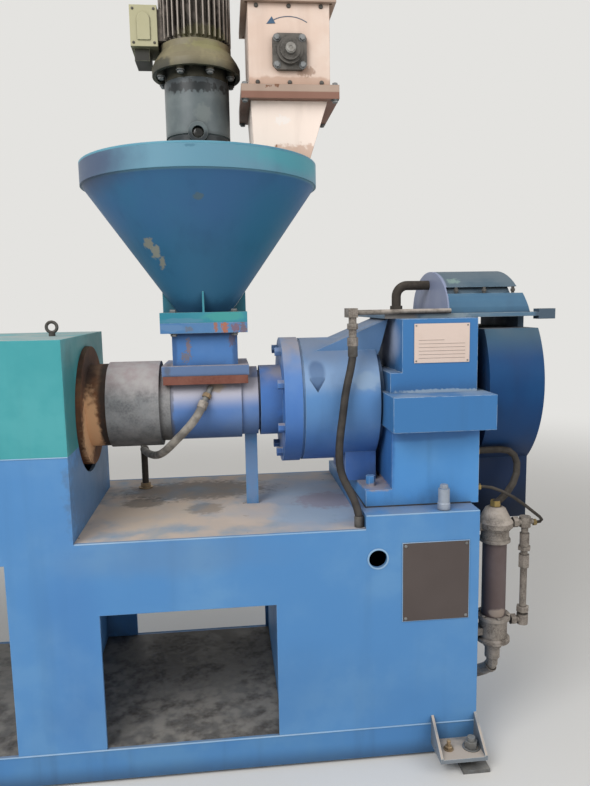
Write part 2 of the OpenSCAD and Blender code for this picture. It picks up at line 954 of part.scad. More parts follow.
module terminal_box() {
    color("#5587b0") placed()
        hood_form(hood_end_plate, hood_length, hood_base, hood_base + hood_split, 0);
}

module terminal_lid() {
    split = hood_base + hood_split;
    lid_base = split + hood_gap;
    core_end = hood_lid_length[1] - hood_core_inset;
    color("#5f8ea5") placed() {
        hood_form(hood_end_plate, hood_lid_length, lid_base, hood_base + hood_rise, 0);
        hood_form(hood_end_plate, [core_end, core_end], split, lid_base, hood_core_inset);
        side_profile(hood_start, hood_end_plate) polygon(arch_points(0));
    }
}

module cable_elbow() {
    run_start = hood_start - elbow_run + elbow_radius;
    height = hood_base + elbow_rise - elbow_radius;
    color("#6f6c66") placed() translate([hood_start - elbow_run, guard_back, hood_base]) {
        cylinder(h = elbow_rise - elbow_radius, r = elbow_pipe);
        hex_head(elbow_gland[1], elbow_gland[0]);
        translate([elbow_radius, 0, elbow_rise - elbow_radius]) rotate([90, 0, 180])
            rotate_extrude(angle = 90) translate([elbow_radius, 0]) circle(r = elbow_pipe);
        translate([elbow_radius, 0, elbow_rise]) rotate([0, 90, 0])
            cylinder(h = elbow_run - elbow_radius, r = elbow_pipe);
    }
}

// Hopper
module hopper_cone() {
    inner_rim = rim_radius - rim_band;
    color("#2f6a8c") placed() rotate_extrude() polygon([
        [outlet_radius, outlet_height], [inner_rim, cone_base], [rim_radius, cone_base],
        [rim_radius, lid_height - lid_plate], [inner_rim, lid_height - lid_plate],
        [inner_rim, cone_base + rim_band], [outlet_radius - hopper_sheet * 1.5, outlet_height]
    ]);
}

module hopper_flange() {
    half = hopper_flange / 2;
    reach = (half - outlet_radius) * cone_height / (rim_radius - rim_band - outlet_radius);
    color("#2c8a96") placed() {
        bored_square(hopper_flange, duct_top + duct_flange, flange_plate);
        for (angle = [0 : 90 : 270])
            rotate([0, 0, angle]) upright_plate(-gusset / 2, gusset) polygon([
                [outlet_radius + fit, outlet_height], [half, outlet_height],
                [half, outlet_height + reach - 2 * fit]
            ]);
    }
}

module hopper_lid() {
    hole = [chute_foot[0] + chute_wall, chute_foot[1] - chute_wall];
    color("#3c8aa0") placed() difference() {
        translate([0, 0, lid_height - lid_plate]) cylinder(h = lid_plate, r = rim_radius);
        span([feeder_offset + hole[0], -chute_depth[0] / 2 + chute_wall, lid_height - 2 * lid_plate],
            [feeder_offset + hole[1], chute_depth[0] / 2 - chute_wall, lid_height + past]);
    }
}

// Agitator drive
module gear_unit() {
    color("#7d8686") placed() {
        translate([0, 0, lid_height]) cylinder(h = gear_step, r = gear_unit_radius - 4);
        translate([0, 0, lid_height + gear_step])
            cylinder(h = gear_unit_height - gear_step, r = gear_unit_radius);
        translate([2, -gear_unit_radius + 8, lid_height + gear_step]) rotate([90, 0, 0]) difference() {
            cylinder(h = sight_length[0], r = sight_radius[0]);
            translate([0, 0, sight_length[1]]) cylinder(h = sight_length[0], r = sight_radius[1]);
        }
    }
}

module motor_flange() {
    neck = gear_unit_radius - 2;
    top = motor_flange_height;
    lip = rim_lift + rim_depth;
    color("#6b6a4a") placed() translate([0, 0, gear_top]) {
        rotate_extrude() polygon([
            [0, 0], [neck, 0], [neck, lip], [motor_flange_radius - 16, lip - 6],
            [motor_flange_radius - 12, rim_lift], [motor_flange_radius, rim_lift],
            [motor_flange_radius, lip], [motor_flange_radius - 8, lip + 16], [motor_radius - 1, top - 18],
            [motor_radius - 1, top], [0, top]
        ]);
        for (i = [0 : lug_count - 1])
            rotate([0, 0, 360 * (i + 0.5) / lug_count])
                translate([motor_flange_radius - lug_radius - 10, 0, rim_lift - 8])
                    cylinder(h = rim_depth + 4, r = lug_radius);
    }
}

module motor() {
    color("#6b6a55") placed() translate([0, 0, motor_base]) {
        cylinder(h = motor_length, r = motor_core);
        for (i = [0 : fin_count - 1])
            rotate([0, 0, 360 * (i + 0.5) / fin_count])
                translate([motor_core - fin_thickness, -fin_thickness / 2, fin_end])
                    cube([motor_radius - motor_core + fin_thickness, fin_thickness,
                        motor_length - 2 * fin_end]);
        span([-motor_radius, -motor_pad[0], fin_end],
            [-motor_core + fin_end, motor_pad[0], motor_pad[1]]);
        translate([0, 0, motor_length]) difference() {
            cylinder(h = cowl_length, r = motor_radius);
            for (i = [0 : slot_count - 1])
                rotate([0, 0, 360 * i / slot_count])
                    translate([motor_radius / 4, -slot_size[1] / 2, cowl_length - slot_size[2]])
                        cube([slot_size[0], slot_size[1], slot_size[2] + past]);
        }
    }
}

module motor_box() {
    low = [-motor_radius - box_size[0], -box_size[1] / 2, motor_base - box_drop];
    gland_place = [
        (box_size[0] - gland_size[0]) / 4, (box_size[1] - gland_size[1]) / 2, -gland_size[2]
    ];
    color("#8c8a5a") placed() {
        translate(low) cube(box_size);
        translate(low + gland_place) cube(gland_size);
    }
}

// Rotary feeder
module feeder_port_at(base, height) {
    span([feeder_offset - feeder_port[0] / 2, -feeder_port[1] / 2, base - past],
        [feeder_offset + feeder_port[0] / 2, feeder_port[1] / 2, base + height + past]);
}

module along_feeder(back, length, radius) {
    translate([feeder_offset, back, feeder_axis]) rotate([90, 0, 0]) cylinder(h = length, r = radius);
}

module feeder_housing() {
    low = [feeder_offset - feeder_width / 2, -feeder_depth / 2, feeder_base];
    inner = feeder_depth - 2 * feeder_end_wall;
    color("#d9bda2") placed() difference() {
        translate(low) cube([feeder_width, feeder_depth, feeder_height]);
        along_feeder(inner / 2, inner, vane_bore);
        along_feeder(feeder_depth / 2 + past, feeder_depth + 2 * past, shaft_radius + past);
        feeder_port_at(feeder_base, feeder_height);
    }
}

module port_plate(base, size) {
    difference() {
        span([feeder_offset - size[0] / 2, -size[1] / 2, base],
            [feeder_offset + size[0] / 2, size[1] / 2, base + flange_thickness]);
        feeder_port_at(base, flange_thickness);
    }
}

module feeder_flanges() {
    top = feeder_base + feeder_height;
    color("#c9a78c") placed() {
        port_plate(feeder_base - 2 * flange_thickness, lower_flange);
        port_plate(feeder_base - flange_thickness, lower_flange);
        difference() {
            port_plate(top, upper_flange);
            for (x = [-1, 1], y = [-1, 1])
                translate([feeder_offset + x * inlet_bolts[0] / 2, y * inlet_bolts[1] / 2, top - past])
                    cylinder(h = flange_thickness + 2 * past, r = inlet_bolt_radius);
        }
    }
}

module bearing_outline() {
    half = bearing_side / 2;
    cut = half - bearing_corner;
    polygon([
        [half, cut], [cut, half], [-cut, half], [-half, cut], [-half, -cut], [-cut, -half],
        [cut, -half], [half, -cut]
    ]);
}

module feeder_bearings() {
    color("#54504c") placed() for (side = [0, 180])
        translate([feeder_offset, 0, feeder_axis]) rotate([0, 0, side])
            translate([0, -feeder_depth / 2, 0]) rotate([90, 0, 0]) difference() {
                union() {
                    linear_extrude(bearing_plate) bearing_outline();
                    cylinder(h = bearing_height - 8, r = bearing_boss[0]);
                    cylinder(h = bearing_height, r = bearing_boss[1]);
                }
                translate([0, 0, -past])
                    cylinder(h = bearing_height + 2 * past, r = shaft_radius + shaft_clearance);
            }
}

module feeder_rotor() {
    length = feeder_depth - 2 * feeder_end_wall - 2 * vane_clearance;
    shaft_length = feeder_depth + 2 * (bearing_height + shaft_overhang);
    vane_root = hub_radius - 4;
    color("#9a968e") placed() translate([feeder_offset, 0, feeder_axis]) rotate([90, 0, 0]) {
        translate([0, 0, -shaft_length / 2]) cylinder(h = shaft_length, r = shaft_radius);
        translate([0, 0, -length / 2]) cylinder(h = length, r = hub_radius);
        for (i = [0 : vane_count - 1])
            rotate([0, 0, 360 * i / vane_count])
                translate([vane_root, -vane_thickness / 2, -length / 2])
                    cube([vane_bore - vane_clearance - vane_root, vane_thickness, length]);
    }
}

module chute_form(inset, past_ends) {
    foot = lid_height - past_ends;
    head = lid_height + chute_height + past_ends;
    widest = max(chute_depth);
    intersection() {
        upright_plate(-widest, 2 * widest) polygon([
            [feeder_offset + chute_foot[0] + inset, foot], [feeder_offset + chute_foot[1] - inset, foot],
            [feeder_offset + chute_head[1] - inset, head], [feeder_offset + chute_head[0] + inset, head]
        ]);
        side_profile(0, 2 * feeder_offset) polygon([
            [-chute_depth[0] / 2 + inset, foot], [chute_depth[0] / 2 - inset, foot],
            [chute_depth[1] / 2 - inset, head], [-chute_depth[1] / 2 + inset, head]
        ]);
    }
}

module feed_chute() {
    color("#cfae93") placed() difference() {
        chute_form(0, 0);
        chute_form(chute_wall, past);
    }
}

// Oil cooler
module cooler_shell() {
    color("#5a4c4c") placed() translate([cooler_x, cooler_y, cooler_base])
        cylinder(h = cooler_length, r = cooler_radius);
}

module cooler_heads() {
    low = cooler_base - cooler_ring;
    outer = collar_radius + collar_ring[0];
    color("#a39a8e") placed() {
        translate(cooler_place) rotate_extrude() polygon([
            [0, 0], [outer, 0], [outer, collar_ring[1]],
            [collar_radius, collar_ring[1] + collar_ring[2]],
            [collar_radius, collar_height - collar_ring[1] - collar_ring[2]],
            [outer, collar_height - collar_ring[1]], [outer, collar_height],
            [head_radius, collar_height], [head_radius, collar_height + head_rise[0]],
            [head_shoulder[0], collar_height + head_rise[1]],
            [head_shoulder[1], collar_height + head_rise[2]],
            [head_shoulder[2], collar_height + head_rise[3]], [0, collar_height + head_rise[3]]
        ]);
        translate([cooler_x, cooler_y, low]) rotate_extrude() polygon([
            [0, cooler_ring], [foot_head_radius[0], cooler_ring], [foot_head_radius[0], 0],
            [foot_head_radius[1], -foot_head_drop[0]], [foot_head_radius[1], -foot_head_drop[1]],
            [foot_head_radius[0], -foot_head_drop[2]], [foot_head_radius[0], -foot_head_drop[3]],
            [nipple_radius[0], -foot_head_drop[3]], [nipple_radius[0], -nipple_drop[0]],
            [nipple_radius[1], -nipple_drop[1]], [nipple_radius[1], -nipple_drop[2]],
            [0, -nipple_drop[2]]
        ]);
        for (z = [low - bracket_place[0], cooler_top + collar_height + bracket_place[1]])
            span([bed_right, cooler_y - bracket_size[0], z - bracket_size[1]],
                [cooler_x - bracket_inset, cooler_y + bracket_size[0], z + bracket_size[1]]);
    }
}

module cooler_bypass() {
    low = cooler_base - bypass_rise[0];
    high = cooler_top + collar_height + bypass_rise[1];
    start = cooler_x + head_radius + bypass_gap;
    color("#9c958c") placed() translate([0, cooler_y, 0]) {
        translate([bypass_x, 0, low - bypass_end])
            cylinder(h = high - low + 2 * bypass_end, r = bypass_pipe);
        for (z = [low, high]) {
            translate([start, 0, z]) rotate([0, 90, 0]) cylinder(h = bypass_x - start, r = bypass_pipe);
            translate([start, 0, z]) rotate([0, 90, 0]) hex_head(tee_length / 2, tee_radius);
            translate([bypass_x, 0, z - tee_length / 2]) cylinder(h = tee_length, r = tee_radius);
        }
        translate([bypass_x, 0, high]) rotate([0, 90, 0])
            cylinder(h = boss_size[0], r = boss_size[1]);
        translate([bypass_x, 0, high - valve_drop[0]])
            cylinder(h = valve_height[0], r = tee_radius - hex_step);
        translate([bypass_x, 0, high - valve_drop[1]])
            hex_head(valve_height[1], tee_radius + hex_step);
        translate([bypass_x, 0, high - valve_drop[2]]) hex_head(valve_height[2], tee_radius);
        translate([bypass_x, 0, low + union_rise[0]])
            hex_head(union_rise[1], tee_radius + hex_step);
    }
}

module cooler_elbow() {
    color("#8f867c") placed() hose(cooler_elbow_route, cooler_elbow_radius, hose_sides);
}

module oil_pipe() {
    color("#4a443e") placed() {
        hose(oil_pipe_route, oil_pipe_radius, hose_sides);
        hose(thin_route, thin_radius, hose_sides);
    }
}

// Hoses
module oil_hose() {
    color("#2a2624") placed() hose(oil_route, oil_hose_radius, hose_sides);
}

module oil_feed() {
    start = oil_route[0];
    feed_height = hood_base + oil_feed_radius + fit;
    feed_y = top_plate_front - oil_feed_radius - fit;
    half = oil_feed_block / 2;
    color("#a8a49c") placed() {
        translate(start) cylinder(h = feed_height - start[2], r = oil_fitting_radius);
        translate(start) hex_head(oil_nut_height[0], oil_fitting_hex);
        translate([start[0], start[1], feed_height - oil_nut_drop])
            hex_head(oil_nut_height[1], oil_fitting_hex);
        span([start[0] - half, start[1] - half, feed_height - half],
            [start[0] + half, feed_y + oil_feed_radius, feed_height + half]);
        translate([start[0], feed_y, feed_height]) rotate([0, 90, 0])
            cylinder(h = oil_feed_end - start[0], r = oil_feed_radius);
    }
}

module cooling_barb() {
    color("#a8a49c") placed() difference() {
        rod(cooling_start, cooling_route[0], cooling_barb_radius);
        round_x(housing_start, housing_end, housing_radius);
    }
}

module cooling_pipe() {
    end = cooling_route[len(cooling_route) - 1];
    color("#5b5550") placed() {
        translate([cooling_pipe_place[0], cooling_pipe_place[1], table_height])
            cylinder(h = end[2] - table_height + cooling_pipe_rise, r = cooling_pipe_radius[0]);
        rod(end, [cooling_pipe_place[0], cooling_pipe_place[1], end[2]], cooling_pipe_radius[1]);
    }
}

module cooling_hose() {
    color("#8f8a84") placed() hose(cooling_route, cooling_hose_radius, hose_sides);
}

bed_front();
bed_back();
base_rails();
bed_cross_walls();
bed_deck();
bed_floor();
raised_walls();
gear_pad();
foot_brackets();
levelling_feet();
access_panel();
barrel_cover();
cover_ring();
barrel();
barrel_saddles();
die_flange();
barrel_flange();
barrel_jacket();
feed_housing();
feed_bars();
throat_duct();
throat_flange();
support_post();
drive_neck();
lantern();
gearbox_lower();
gearbox_joint();
gearbox_upper();
nameplate();
top_plate();
belt_guard();
terminal_box();
terminal_lid();
cable_elbow();
hopper_cone();
hopper_flange();
hopper_lid();
gear_unit();
motor_flange();
motor();
motor_box();
feeder_housing();
feeder_flanges();
feeder_bearings();
feeder_rotor();
feed_chute();
cooler_shell();
cooler_heads();
cooler_bypass();
cooler_elbow();
oil_pipe();
oil_hose();
oil_feed();
cooling_barb();
cooling_pipe();
cooling_hose();
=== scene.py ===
import math

import bmesh
import bpy
from mathutils import Matrix, Vector


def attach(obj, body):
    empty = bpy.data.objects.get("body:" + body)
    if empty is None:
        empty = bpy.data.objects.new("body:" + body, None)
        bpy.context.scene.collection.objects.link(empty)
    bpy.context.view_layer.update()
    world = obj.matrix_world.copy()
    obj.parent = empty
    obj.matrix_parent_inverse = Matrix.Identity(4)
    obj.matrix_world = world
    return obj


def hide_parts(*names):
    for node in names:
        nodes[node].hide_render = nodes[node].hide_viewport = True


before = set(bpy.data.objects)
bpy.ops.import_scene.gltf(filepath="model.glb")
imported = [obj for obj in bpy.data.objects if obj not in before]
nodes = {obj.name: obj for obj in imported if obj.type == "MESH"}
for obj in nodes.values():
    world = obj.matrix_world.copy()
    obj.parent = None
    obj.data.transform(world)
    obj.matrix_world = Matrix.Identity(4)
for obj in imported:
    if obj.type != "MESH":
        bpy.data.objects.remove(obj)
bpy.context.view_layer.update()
print("frame loaded:", len(nodes), "nodes")


# Places are given in millimetres from the point on the floor under the hopper's axis and the
# barrel's: x along the barrel to the gearbox, y to the back, z up.
hopperAxis = Vector((0.6265, -0.03, 0))


def place(x, y, z):
    return hopperAxis + Vector((x, y, z)) / 1000


def newObject(name, data):
    thing = bpy.data.objects.new(name, data)
    bpy.context.scene.collection.objects.link(thing)
    return thing


# Camera
photoCamera = {
    "eye": (66, -2212.4, 1420),
    "yaw": 5.836,
    "pitch": 7.590,
    "roll": 1.022,
    "focalPixels": 664.917,
    "framePixels": (590, 786),
    "sensor": 36,
}


def aimCamera(view):
    yaw, pitch, roll = (math.radians(view[key]) for key in ("yaw", "pitch", "roll"))
    forward = Vector((math.sin(yaw) * math.cos(pitch), math.cos(yaw) * math.cos(pitch), -math.sin(pitch)))
    level = Vector((math.cos(yaw), -math.sin(yaw), 0))
    down = forward.cross(level)
    right = math.cos(roll) * level + math.sin(roll) * down
    up = math.sin(roll) * level - math.cos(roll) * down
    data = bpy.data.cameras.new("photoCamera")
    data.sensor_width = view["sensor"]
    data.lens = view["focalPixels"] / max(view["framePixels"]) * view["sensor"]
    camera = newObject("photoCamera", data)
    turn = Matrix((right, up, -forward)).transposed().to_4x4()
    camera.matrix_world = Matrix.Translation(place(*view["eye"])) @ turn
    bpy.context.scene.camera = camera


aimCamera(photoCamera)


# Mesh helpers. Each adds to one mesh, in millimetres, and finishPiece makes an object of it.
def skin(mesh, rings, closed):
    # Faces from ring to ring. A form that doesn't close on itself is capped at both ends.
    for low, high in zip(rings, rings[1:] + rings[:1] if closed else rings[1:]):
        for i in range(len(low)):
            j = (i + 1) % len(low)
            mesh.faces.new((low[i], low[j], high[j], high[i]))
    if not closed:
        mesh.faces.new(rings[0][::-1])
        mesh.faces.new(rings[-1])


def turned(mesh, profile, at, toward=(0, 0, 1), sides=24, spin=0.0, hollow=False):
    # A profile of radii and heights, turned about the line from "at" toward a direction.
    turn = Vector((0, 0, 1)).rotation_difference(Vector(toward).normalized())
    angles = [math.tau * (i + spin) / sides for i in range(sides)]
    rings = []
    for radius, height in profile:
        points = [Vector((radius * math.cos(a), radius * math.sin(a), height)) for a in angles]
        rings.append([mesh.verts.new(place(*at) + turn @ point / 1000) for point in points])
    skin(mesh, rings, hollow)


def collar(mesh, bore, outer, low, high, at, toward=(0, 0, 1), sides=24):
    turned(mesh, [(bore, low), (outer, low), (outer, high), (bore, high)], at, toward, sides, hollow=True)


def plateOf(mesh, outline, back, front):
    # An outline in x and z, between two values of y.
    rear = [mesh.verts.new(place(x, back, z)) for x, z in outline]
    face = [mesh.verts.new(place(x, front, z)) for x, z in outline]
    skin(mesh, [rear, face], False)


def smoothRoute(route, steps):
    # A curve through every point of the route, with its first and last stretch kept straight.
    points = [Vector(p) for p in route]
    ends = [points[0] * 2 - points[1]] + points + [points[-1] * 2 - points[-2]]
    fine = []
    for i in range(1, len(ends) - 2):
        a, b, c, d = ends[i - 1:i + 3]
        for t in (k / steps for k in range(steps)):
            bend = (2 * a - 5 * b + 4 * c - d) * t * t + (3 * b - a - 3 * c + d) * t ** 3
            fine.append(0.5 * (2 * b + (c - a) * t + bend))
    return fine + [points[-1]]


def tube(mesh, route, radius, sides=8, closed=False):
    points = [Vector(p) for p in route]
    last = len(points) - 1
    side = None
    rings = []
    for i, point in enumerate(points):
        before = points[i - 1] if i or closed else point
        after = points[(i + 1) % len(points)] if i < last or closed else point
        heading = (after - before).normalized()
        if side is None:
            side = heading.orthogonal().normalized()
        side = (side - heading * side.dot(heading)).normalized()
        across = heading.cross(side)
        angles = [math.tau * k / sides for k in range(sides)]
        rings.append([mesh.verts.new(place(*(point + radius * (math.cos(a) * side + math.sin(a) * across))))
                      for a in angles])
    skin(mesh, rings, closed)


def bolt(mesh, at, toward, head, washer=True, spin=0.25):
    # A chamfered hexagon on a washer. "head" is what it measures from its middle to a corner.
    height = head * 0.75
    lift = head * 0.18 if washer else 0
    if washer:
        turned(mesh, [(head * 1.3, 0), (head * 1.3, lift)], at, toward)
    foot = Vector(at) + Vector(toward).normalized() * lift
    profile = [(head * 0.9, 0), (head, height * 0.12), (head, height * 0.8), (head * 0.84, height)]
    turned(mesh, profile, foot, toward, 6, spin)


def screw(mesh, at, toward, head):
    # A pan head with a flat rim.
    profile = [(head, 0), (head, head * 0.25), (head * 0.8, head * 0.55), (head * 0.35, head * 0.68)]
    turned(mesh, profile, at, toward, 16)


sharpAngle = math.radians(32)


def finishPiece(name, mesh, finish, body="machine", bevel=0.0):
    bmesh.ops.recalc_face_normals(mesh, faces=mesh.faces[:])
    data = bpy.data.meshes.new(name)
    mesh.to_mesh(data)
    mesh.free()
    data.shade_smooth()
    data.set_sharp_from_angle(angle=sharpAngle)
    data.materials.append(finishes[finish])
    piece = newObject(name, data)
    if bevel:
        rounding = piece.modifiers.new("rounding", "BEVEL")
        rounding.width = bevel / 1000
        rounding.segments = 2
        rounding.limit_method = "ANGLE"
    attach(piece, body)
    return piece


def beads(name, routes, radius, finish="weldEnamel", closed=False):
    # Round lines of one thickness, as one piece.
    mesh = bmesh.new()
    for route in routes:
        tube(mesh, route, radius, closed=closed)
    finishPiece(name, mesh, finish)


def fixings(name, add, places, head, finish="zincBolt", slot="bare_steel", **shape):
    # Screws or bolts of one size. A place is a point and the way out of the surface there.
    mesh = bmesh.new()
    for at, toward in places:
        add(mesh, at, toward, head, **shape)
    finishPiece(name, mesh, finish)


def panelScrews(name, panel, face, inset, head, finish="zincBolt"):
    left, right, low, high = panel
    places = [((x, face, z), (0, -1, 0))
              for x in (left + inset, right - inset) for z in (low + inset, high - inset)]
    fixings(name, screw, places, head, finish)


def flangeBolts(name, flange):
    # Above and below each corner of a square flange.
    x, y = flange["centre"]
    across, along = flange["reach"]
    places = [((x + i * across, y + j * along, z), (0, 0, way))
              for i in (-1, 1) for j in (-1, 1) for way, z in flange["faces"]]
    fixings(name, bolt, places, flange["head"])


# Material helpers
finishes = {}


def startMaterial(name, on=()):
    # An empty material, given to the solids that it is on.
    material = bpy.data.materials.new(name)
    material.use_nodes = True
    material.node_tree.nodes.clear()
    finishes[name] = material
    for node in on:
        nodes[node].data.materials.clear()
        nodes[node].data.materials.append(material)
    return material.node_tree


def linearColour(code):
    channels = [int(code[i:i + 2], 16) / 255 for i in (1, 3, 5)]
    return [c / 12.92 if c <= 0.04045 else ((c + 0.055) / 1.055) ** 2.4 for c in channels] + [1]


def addNode(tree, kind, inputs={}, out=0, **settings):
    # Returns the output that is used, or the node itself where it has none.
    node = tree.nodes.new("ShaderNode" + kind)
    for name, value in settings.items():
        setattr(node, name, value)
    for name, value in inputs.items():
        if isinstance(value, bpy.types.NodeSocket):
            tree.links.new(value, node.inputs[name])
        else:
            node.inputs[name].default_value = linearColour(value) if isinstance(value, str) else value
    return node.outputs[out] if node.outputs else node


def limits(value, low, high):
    # What a smooth step needs: 0 at the low value, 1 at the high one.
    return {"Value": value, "From Min": low, "From Max": high}


smooth = {"interpolation_type": "SMOOTHSTEP"}
adding = {"operation": "ADD", "use_clamp": True}
larger = {"operation": "MAXIMUM", "use_clamp": True}


def product(tree, *shares):
    # Shares multiplied together, from 0 to 1.
    total = shares[0]
    for share in shares[1:]:
        total = addNode(tree, "Math", {0: total, 1: share}, operation="MULTIPLY", use_clamp=True)
    return total


def layer(tree, under, over, *shares):
    # One colour over another, by the product of the shares.
    return addNode(tree, "Mix", {0: product(tree, *shares), 6: under, 7: over}, 2, data_type="RGBA")


def noiseMask(tree, where, size, low, high, detail=5, stretch=(1, 1, 1)):
    # Patches about "size" mm across: 0 under the low value of the noise, 1 over the high one.
    mapped = addNode(tree, "Mapping", {"Vector": where, "Scale": stretch})
    noise = addNode(tree, "TexNoise", {"Vector": mapped, "Scale": 500 / size, "Detail": detail})
    return addNode(tree, "MapRange", limits(noise, low, high), **smooth)


def upward(tree, facing, low, high):
    # 1 on what faces up.
    height = addNode(tree, "SeparateXYZ", {0: facing}, 2)
    return addNode(tree, "MapRange", limits(height, low, high), **smooth)


def corners(tree, reach, clear):
    # 1 deep in a corner, 0 where more than the clear share of the sky is open. It lays painted shade, with
    # dirt, into corners and recesses.
    openness = addNode(tree, "AmbientOcclusion", {"Distance": reach / 1000}, "AO", samples=6)
    return addNode(tree, "MapRange", limits(openness, clear, 0.3), **smooth)


def spot(at, size, tone, share, ragged=1.2, soft=0.25, grain=11):
    # A patch of colour, used for stains and for painted shade and light: its centre and half sizes in mm,
    # and an edge that is ragged by patches of "grain" mm.
    return at, size, tone, share, ragged, soft, grain


def paintSpots(tree, where, colour, spots):
    noises = {grain: addNode(tree, "TexNoise", {"Vector": where, "Scale": 500 / grain, "Detail": 6})
              for grain in sorted({values[-1] for values in spots})}
    for at, size, tone, share, ragged, soft, grain in spots:
        moved = addNode(tree, "VectorMath", {0: where, 1: tuple(place(*at))}, operation="SUBTRACT")
        halves = tuple(s / 1000 for s in size)
        scaled = addNode(tree, "VectorMath", {0: moved, 1: halves}, operation="DIVIDE")
        away = addNode(tree, "VectorMath", {0: scaled}, "Value", operation="LENGTH")
        rough = addNode(tree, "Math", {0: noises[grain], 1: ragged, 2: away}, operation="MULTIPLY_ADD")
        edge = 1 + ragged / 2
        inside = addNode(tree, "MapRange", limits(rough, edge + soft, edge - soft), **smooth)
        colour = layer(tree, colour, tone, inside, share)
    return colour


def paintBands(tree, where, colour, bands):
    # Shades that come on gradually from one height in mm to another.
    for start, full, shade, share in bands:
        height = addNode(tree, "SeparateXYZ", {0: where}, 2)
        inside = addNode(tree, "MapRange", limits(height, start / 1000, full / 1000), **smooth)
        colour = layer(tree, colour, shade, inside, share)
    return colour


def grainBump(tree, where, look, detail, normal):
    grain = addNode(tree, "TexNoise", {"Vector": where, "Scale": 1000 / look["grainSize"], "Detail": detail})
    depth = {"Height": grain, "Strength": 1, "Distance": look["grainDepth"] / 1000, "Normal": normal}
    return addNode(tree, "Bump", depth)


def closeMaterial(tree, surface):
    shader = addNode(tree, "BsdfPrincipled", surface)
    addNode(tree, "OutputMaterial", {"Surface": shader})


# Alkyd enamel, brushed or sprayed on steel and cast iron, smooth with a soft gloss. It shows large faded
# patches, runs of grime, dirt and painted shade in corners, dust on what faces up, and pale edges of worn
# paint and painted highlight.
enamelDefaults = {
    "paint": "#4f88c2",
    "faded": "#6a9cc8",   # sun-bleached and rubbed patches
    "grime": "#35404e",   # oily dirt that gathers in corners
    "dust": "#a59a8a",    # oily dirt in runs and corners, and painted shade in corners
    "chip": "#7a5a45",    # rust and primer under the paint
    "edge": "#a9c6de",    # paint rubbed thin on edges, and painted highlight along them
    "fadedShare": 0.35,
    "grimeShare": 0.6,
    "dustShare": 0.35,
    "chipShare": 0.0,     # 0 is unchipped, 0.15 is badly chipped
    "edgeShare": 0.45,
    "streakShare": 0.15,
    "gloss": 0.42,        # roughness of the clean paint
    "patchSize": 170,     # mm across a faded patch
    "streakSize": 34,     # mm across a run, which is 14 times as long
    "dirtSize": 17,       # mm across the breaks in the dirt, and so on for what follows
    "dustSize": 55,
    "wearSize": 15,
    "chipSize": 20,
    "grainSize": 2.2,     # mm, orange peel or casting grain
    "grainDepth": 0.05,   # mm
    "edgeRadius": 2.5,    # mm
    "grimeReach": 70,     # mm that dirt and painted shade spread from a corner
    "spots": [],
    "bands": [],          # from a height to another, with a colour and its share
}


def enamel(name, on=(), **changes):
    look = {**enamelDefaults, **changes}
    tree = startMaterial(name, on)
    where = addNode(tree, "TexCoord", out="Object")
    facing = addNode(tree, "NewGeometry", out="Normal")
    rounded = addNode(tree, "Bevel", {"Radius": look["edgeRadius"] / 1000}, samples=4)

    patch = noiseMask(tree, where, look["patchSize"], 0.4, 0.66)
    cloudy = noiseMask(tree, where, look["patchSize"] / 5, 0.3, 0.75, detail=8)
    clouds = addNode(tree, "Math", {0: cloudy, 1: 0.4}, **adding)
    colour = layer(tree, look["paint"], look["faded"], patch, clouds, look["fadedShare"] * 1.6)
    colour = paintBands(tree, where, colour, look["bands"])

    streak = noiseMask(tree, where, look["streakSize"], 0.5, 0.8, detail=6, stretch=(1, 1, 0.07))
    colour = layer(tree, colour, look["grime"], streak, look["streakShare"])

    # Dirt, broken into patches, and painted shade in corners and recesses
    broken = noiseMask(tree, where, look["dirtSize"], 0.2, 0.6, detail=8)
    breaks = addNode(tree, "Math", {0: broken, 1: 0.3}, **adding)
    dirtAndShade = product(tree, corners(tree, look["grimeReach"], 0.9), breaks, look["grimeShare"])
    colour = layer(tree, colour, look["grime"], dirtAndShade)

    settled = noiseMask(tree, where, look["dustSize"], 0.28, 0.6, detail=9)
    dusty = product(tree, upward(tree, facing, 0.4, 0.95), settled, look["dustShare"])
    colour = layer(tree, colour, look["dust"], dusty)

    # Pale edges: paint rubbed thin, and a painted highlight along each edge
    turn = addNode(tree, "VectorMath", {0: rounded, 1: facing}, "Value", operation="DOT_PRODUCT")
    edge = addNode(tree, "MapRange", limits(turn, 0.998, 0.9), **smooth)
    edgeWearAndSheen = noiseMask(tree, where, look["wearSize"], 0.32, 0.55, detail=8)
    colour = layer(tree, colour, look["edge"], edge, edgeWearAndSheen, look["edgeShare"])

    bump = grainBump(tree, where, look, 3, rounded)
    if look["chipShare"]:
        start = 0.74 - look["chipShare"]
        flake = noiseMask(tree, where, look["chipSize"], start, start + 0.015, detail=10)
        colour = layer(tree, colour, look["chip"], flake)
        depth = {"Height": flake, "Strength": 0.5, "Distance": 0.0004, "Normal": bump}
        bump = addNode(tree, "Bump", depth, invert=True)
    colour = paintSpots(tree, where, colour, look["spots"])

    dull = addNode(tree, "Math", {0: dusty, 1: dirtAndShade}, **larger)
    rough = addNode(tree, "MapRange", {"Value": dull, "To Min": look["gloss"], "To Max": 0.85})
    scuffed = addNode(tree, "Math", {0: rough, 1: product(tree, cloudy, 0.12)}, **adding)
    closeMaterial(tree, {"Base Color": colour, "Roughness": scuffed, "Specular IOR Level": 0.3,
                         "Normal": bump})


# Bare iron and steel: metal where it is rubbed, dull where it is rusted, caked or powdered.
metalDefaults = {
    "metal": "#8d8d8a",
    "scale": "#5f5a54",   # mill scale, stain or rust
    "powder": "#b5b1a8",  # plastic powder, lime or dust
    # Oil and painted shade in corners and recesses
    "oilAndShade": "#26221e",
    "metallic": 0.6,
    "scaleShare": 0.5,
    "powderShare": 0.3,
    "roughness": 0.5,
    "patchSize": 60,
    "cakeSize": 22,       # mm across a patch of powder
    "grainSize": 1.6,
    "grainDepth": 0.12,
    "edgeRadius": 1.2,
    "grimeReach": 40,
    "grimeShare": 0.5,
    "spots": [],
    "bands": [],
}


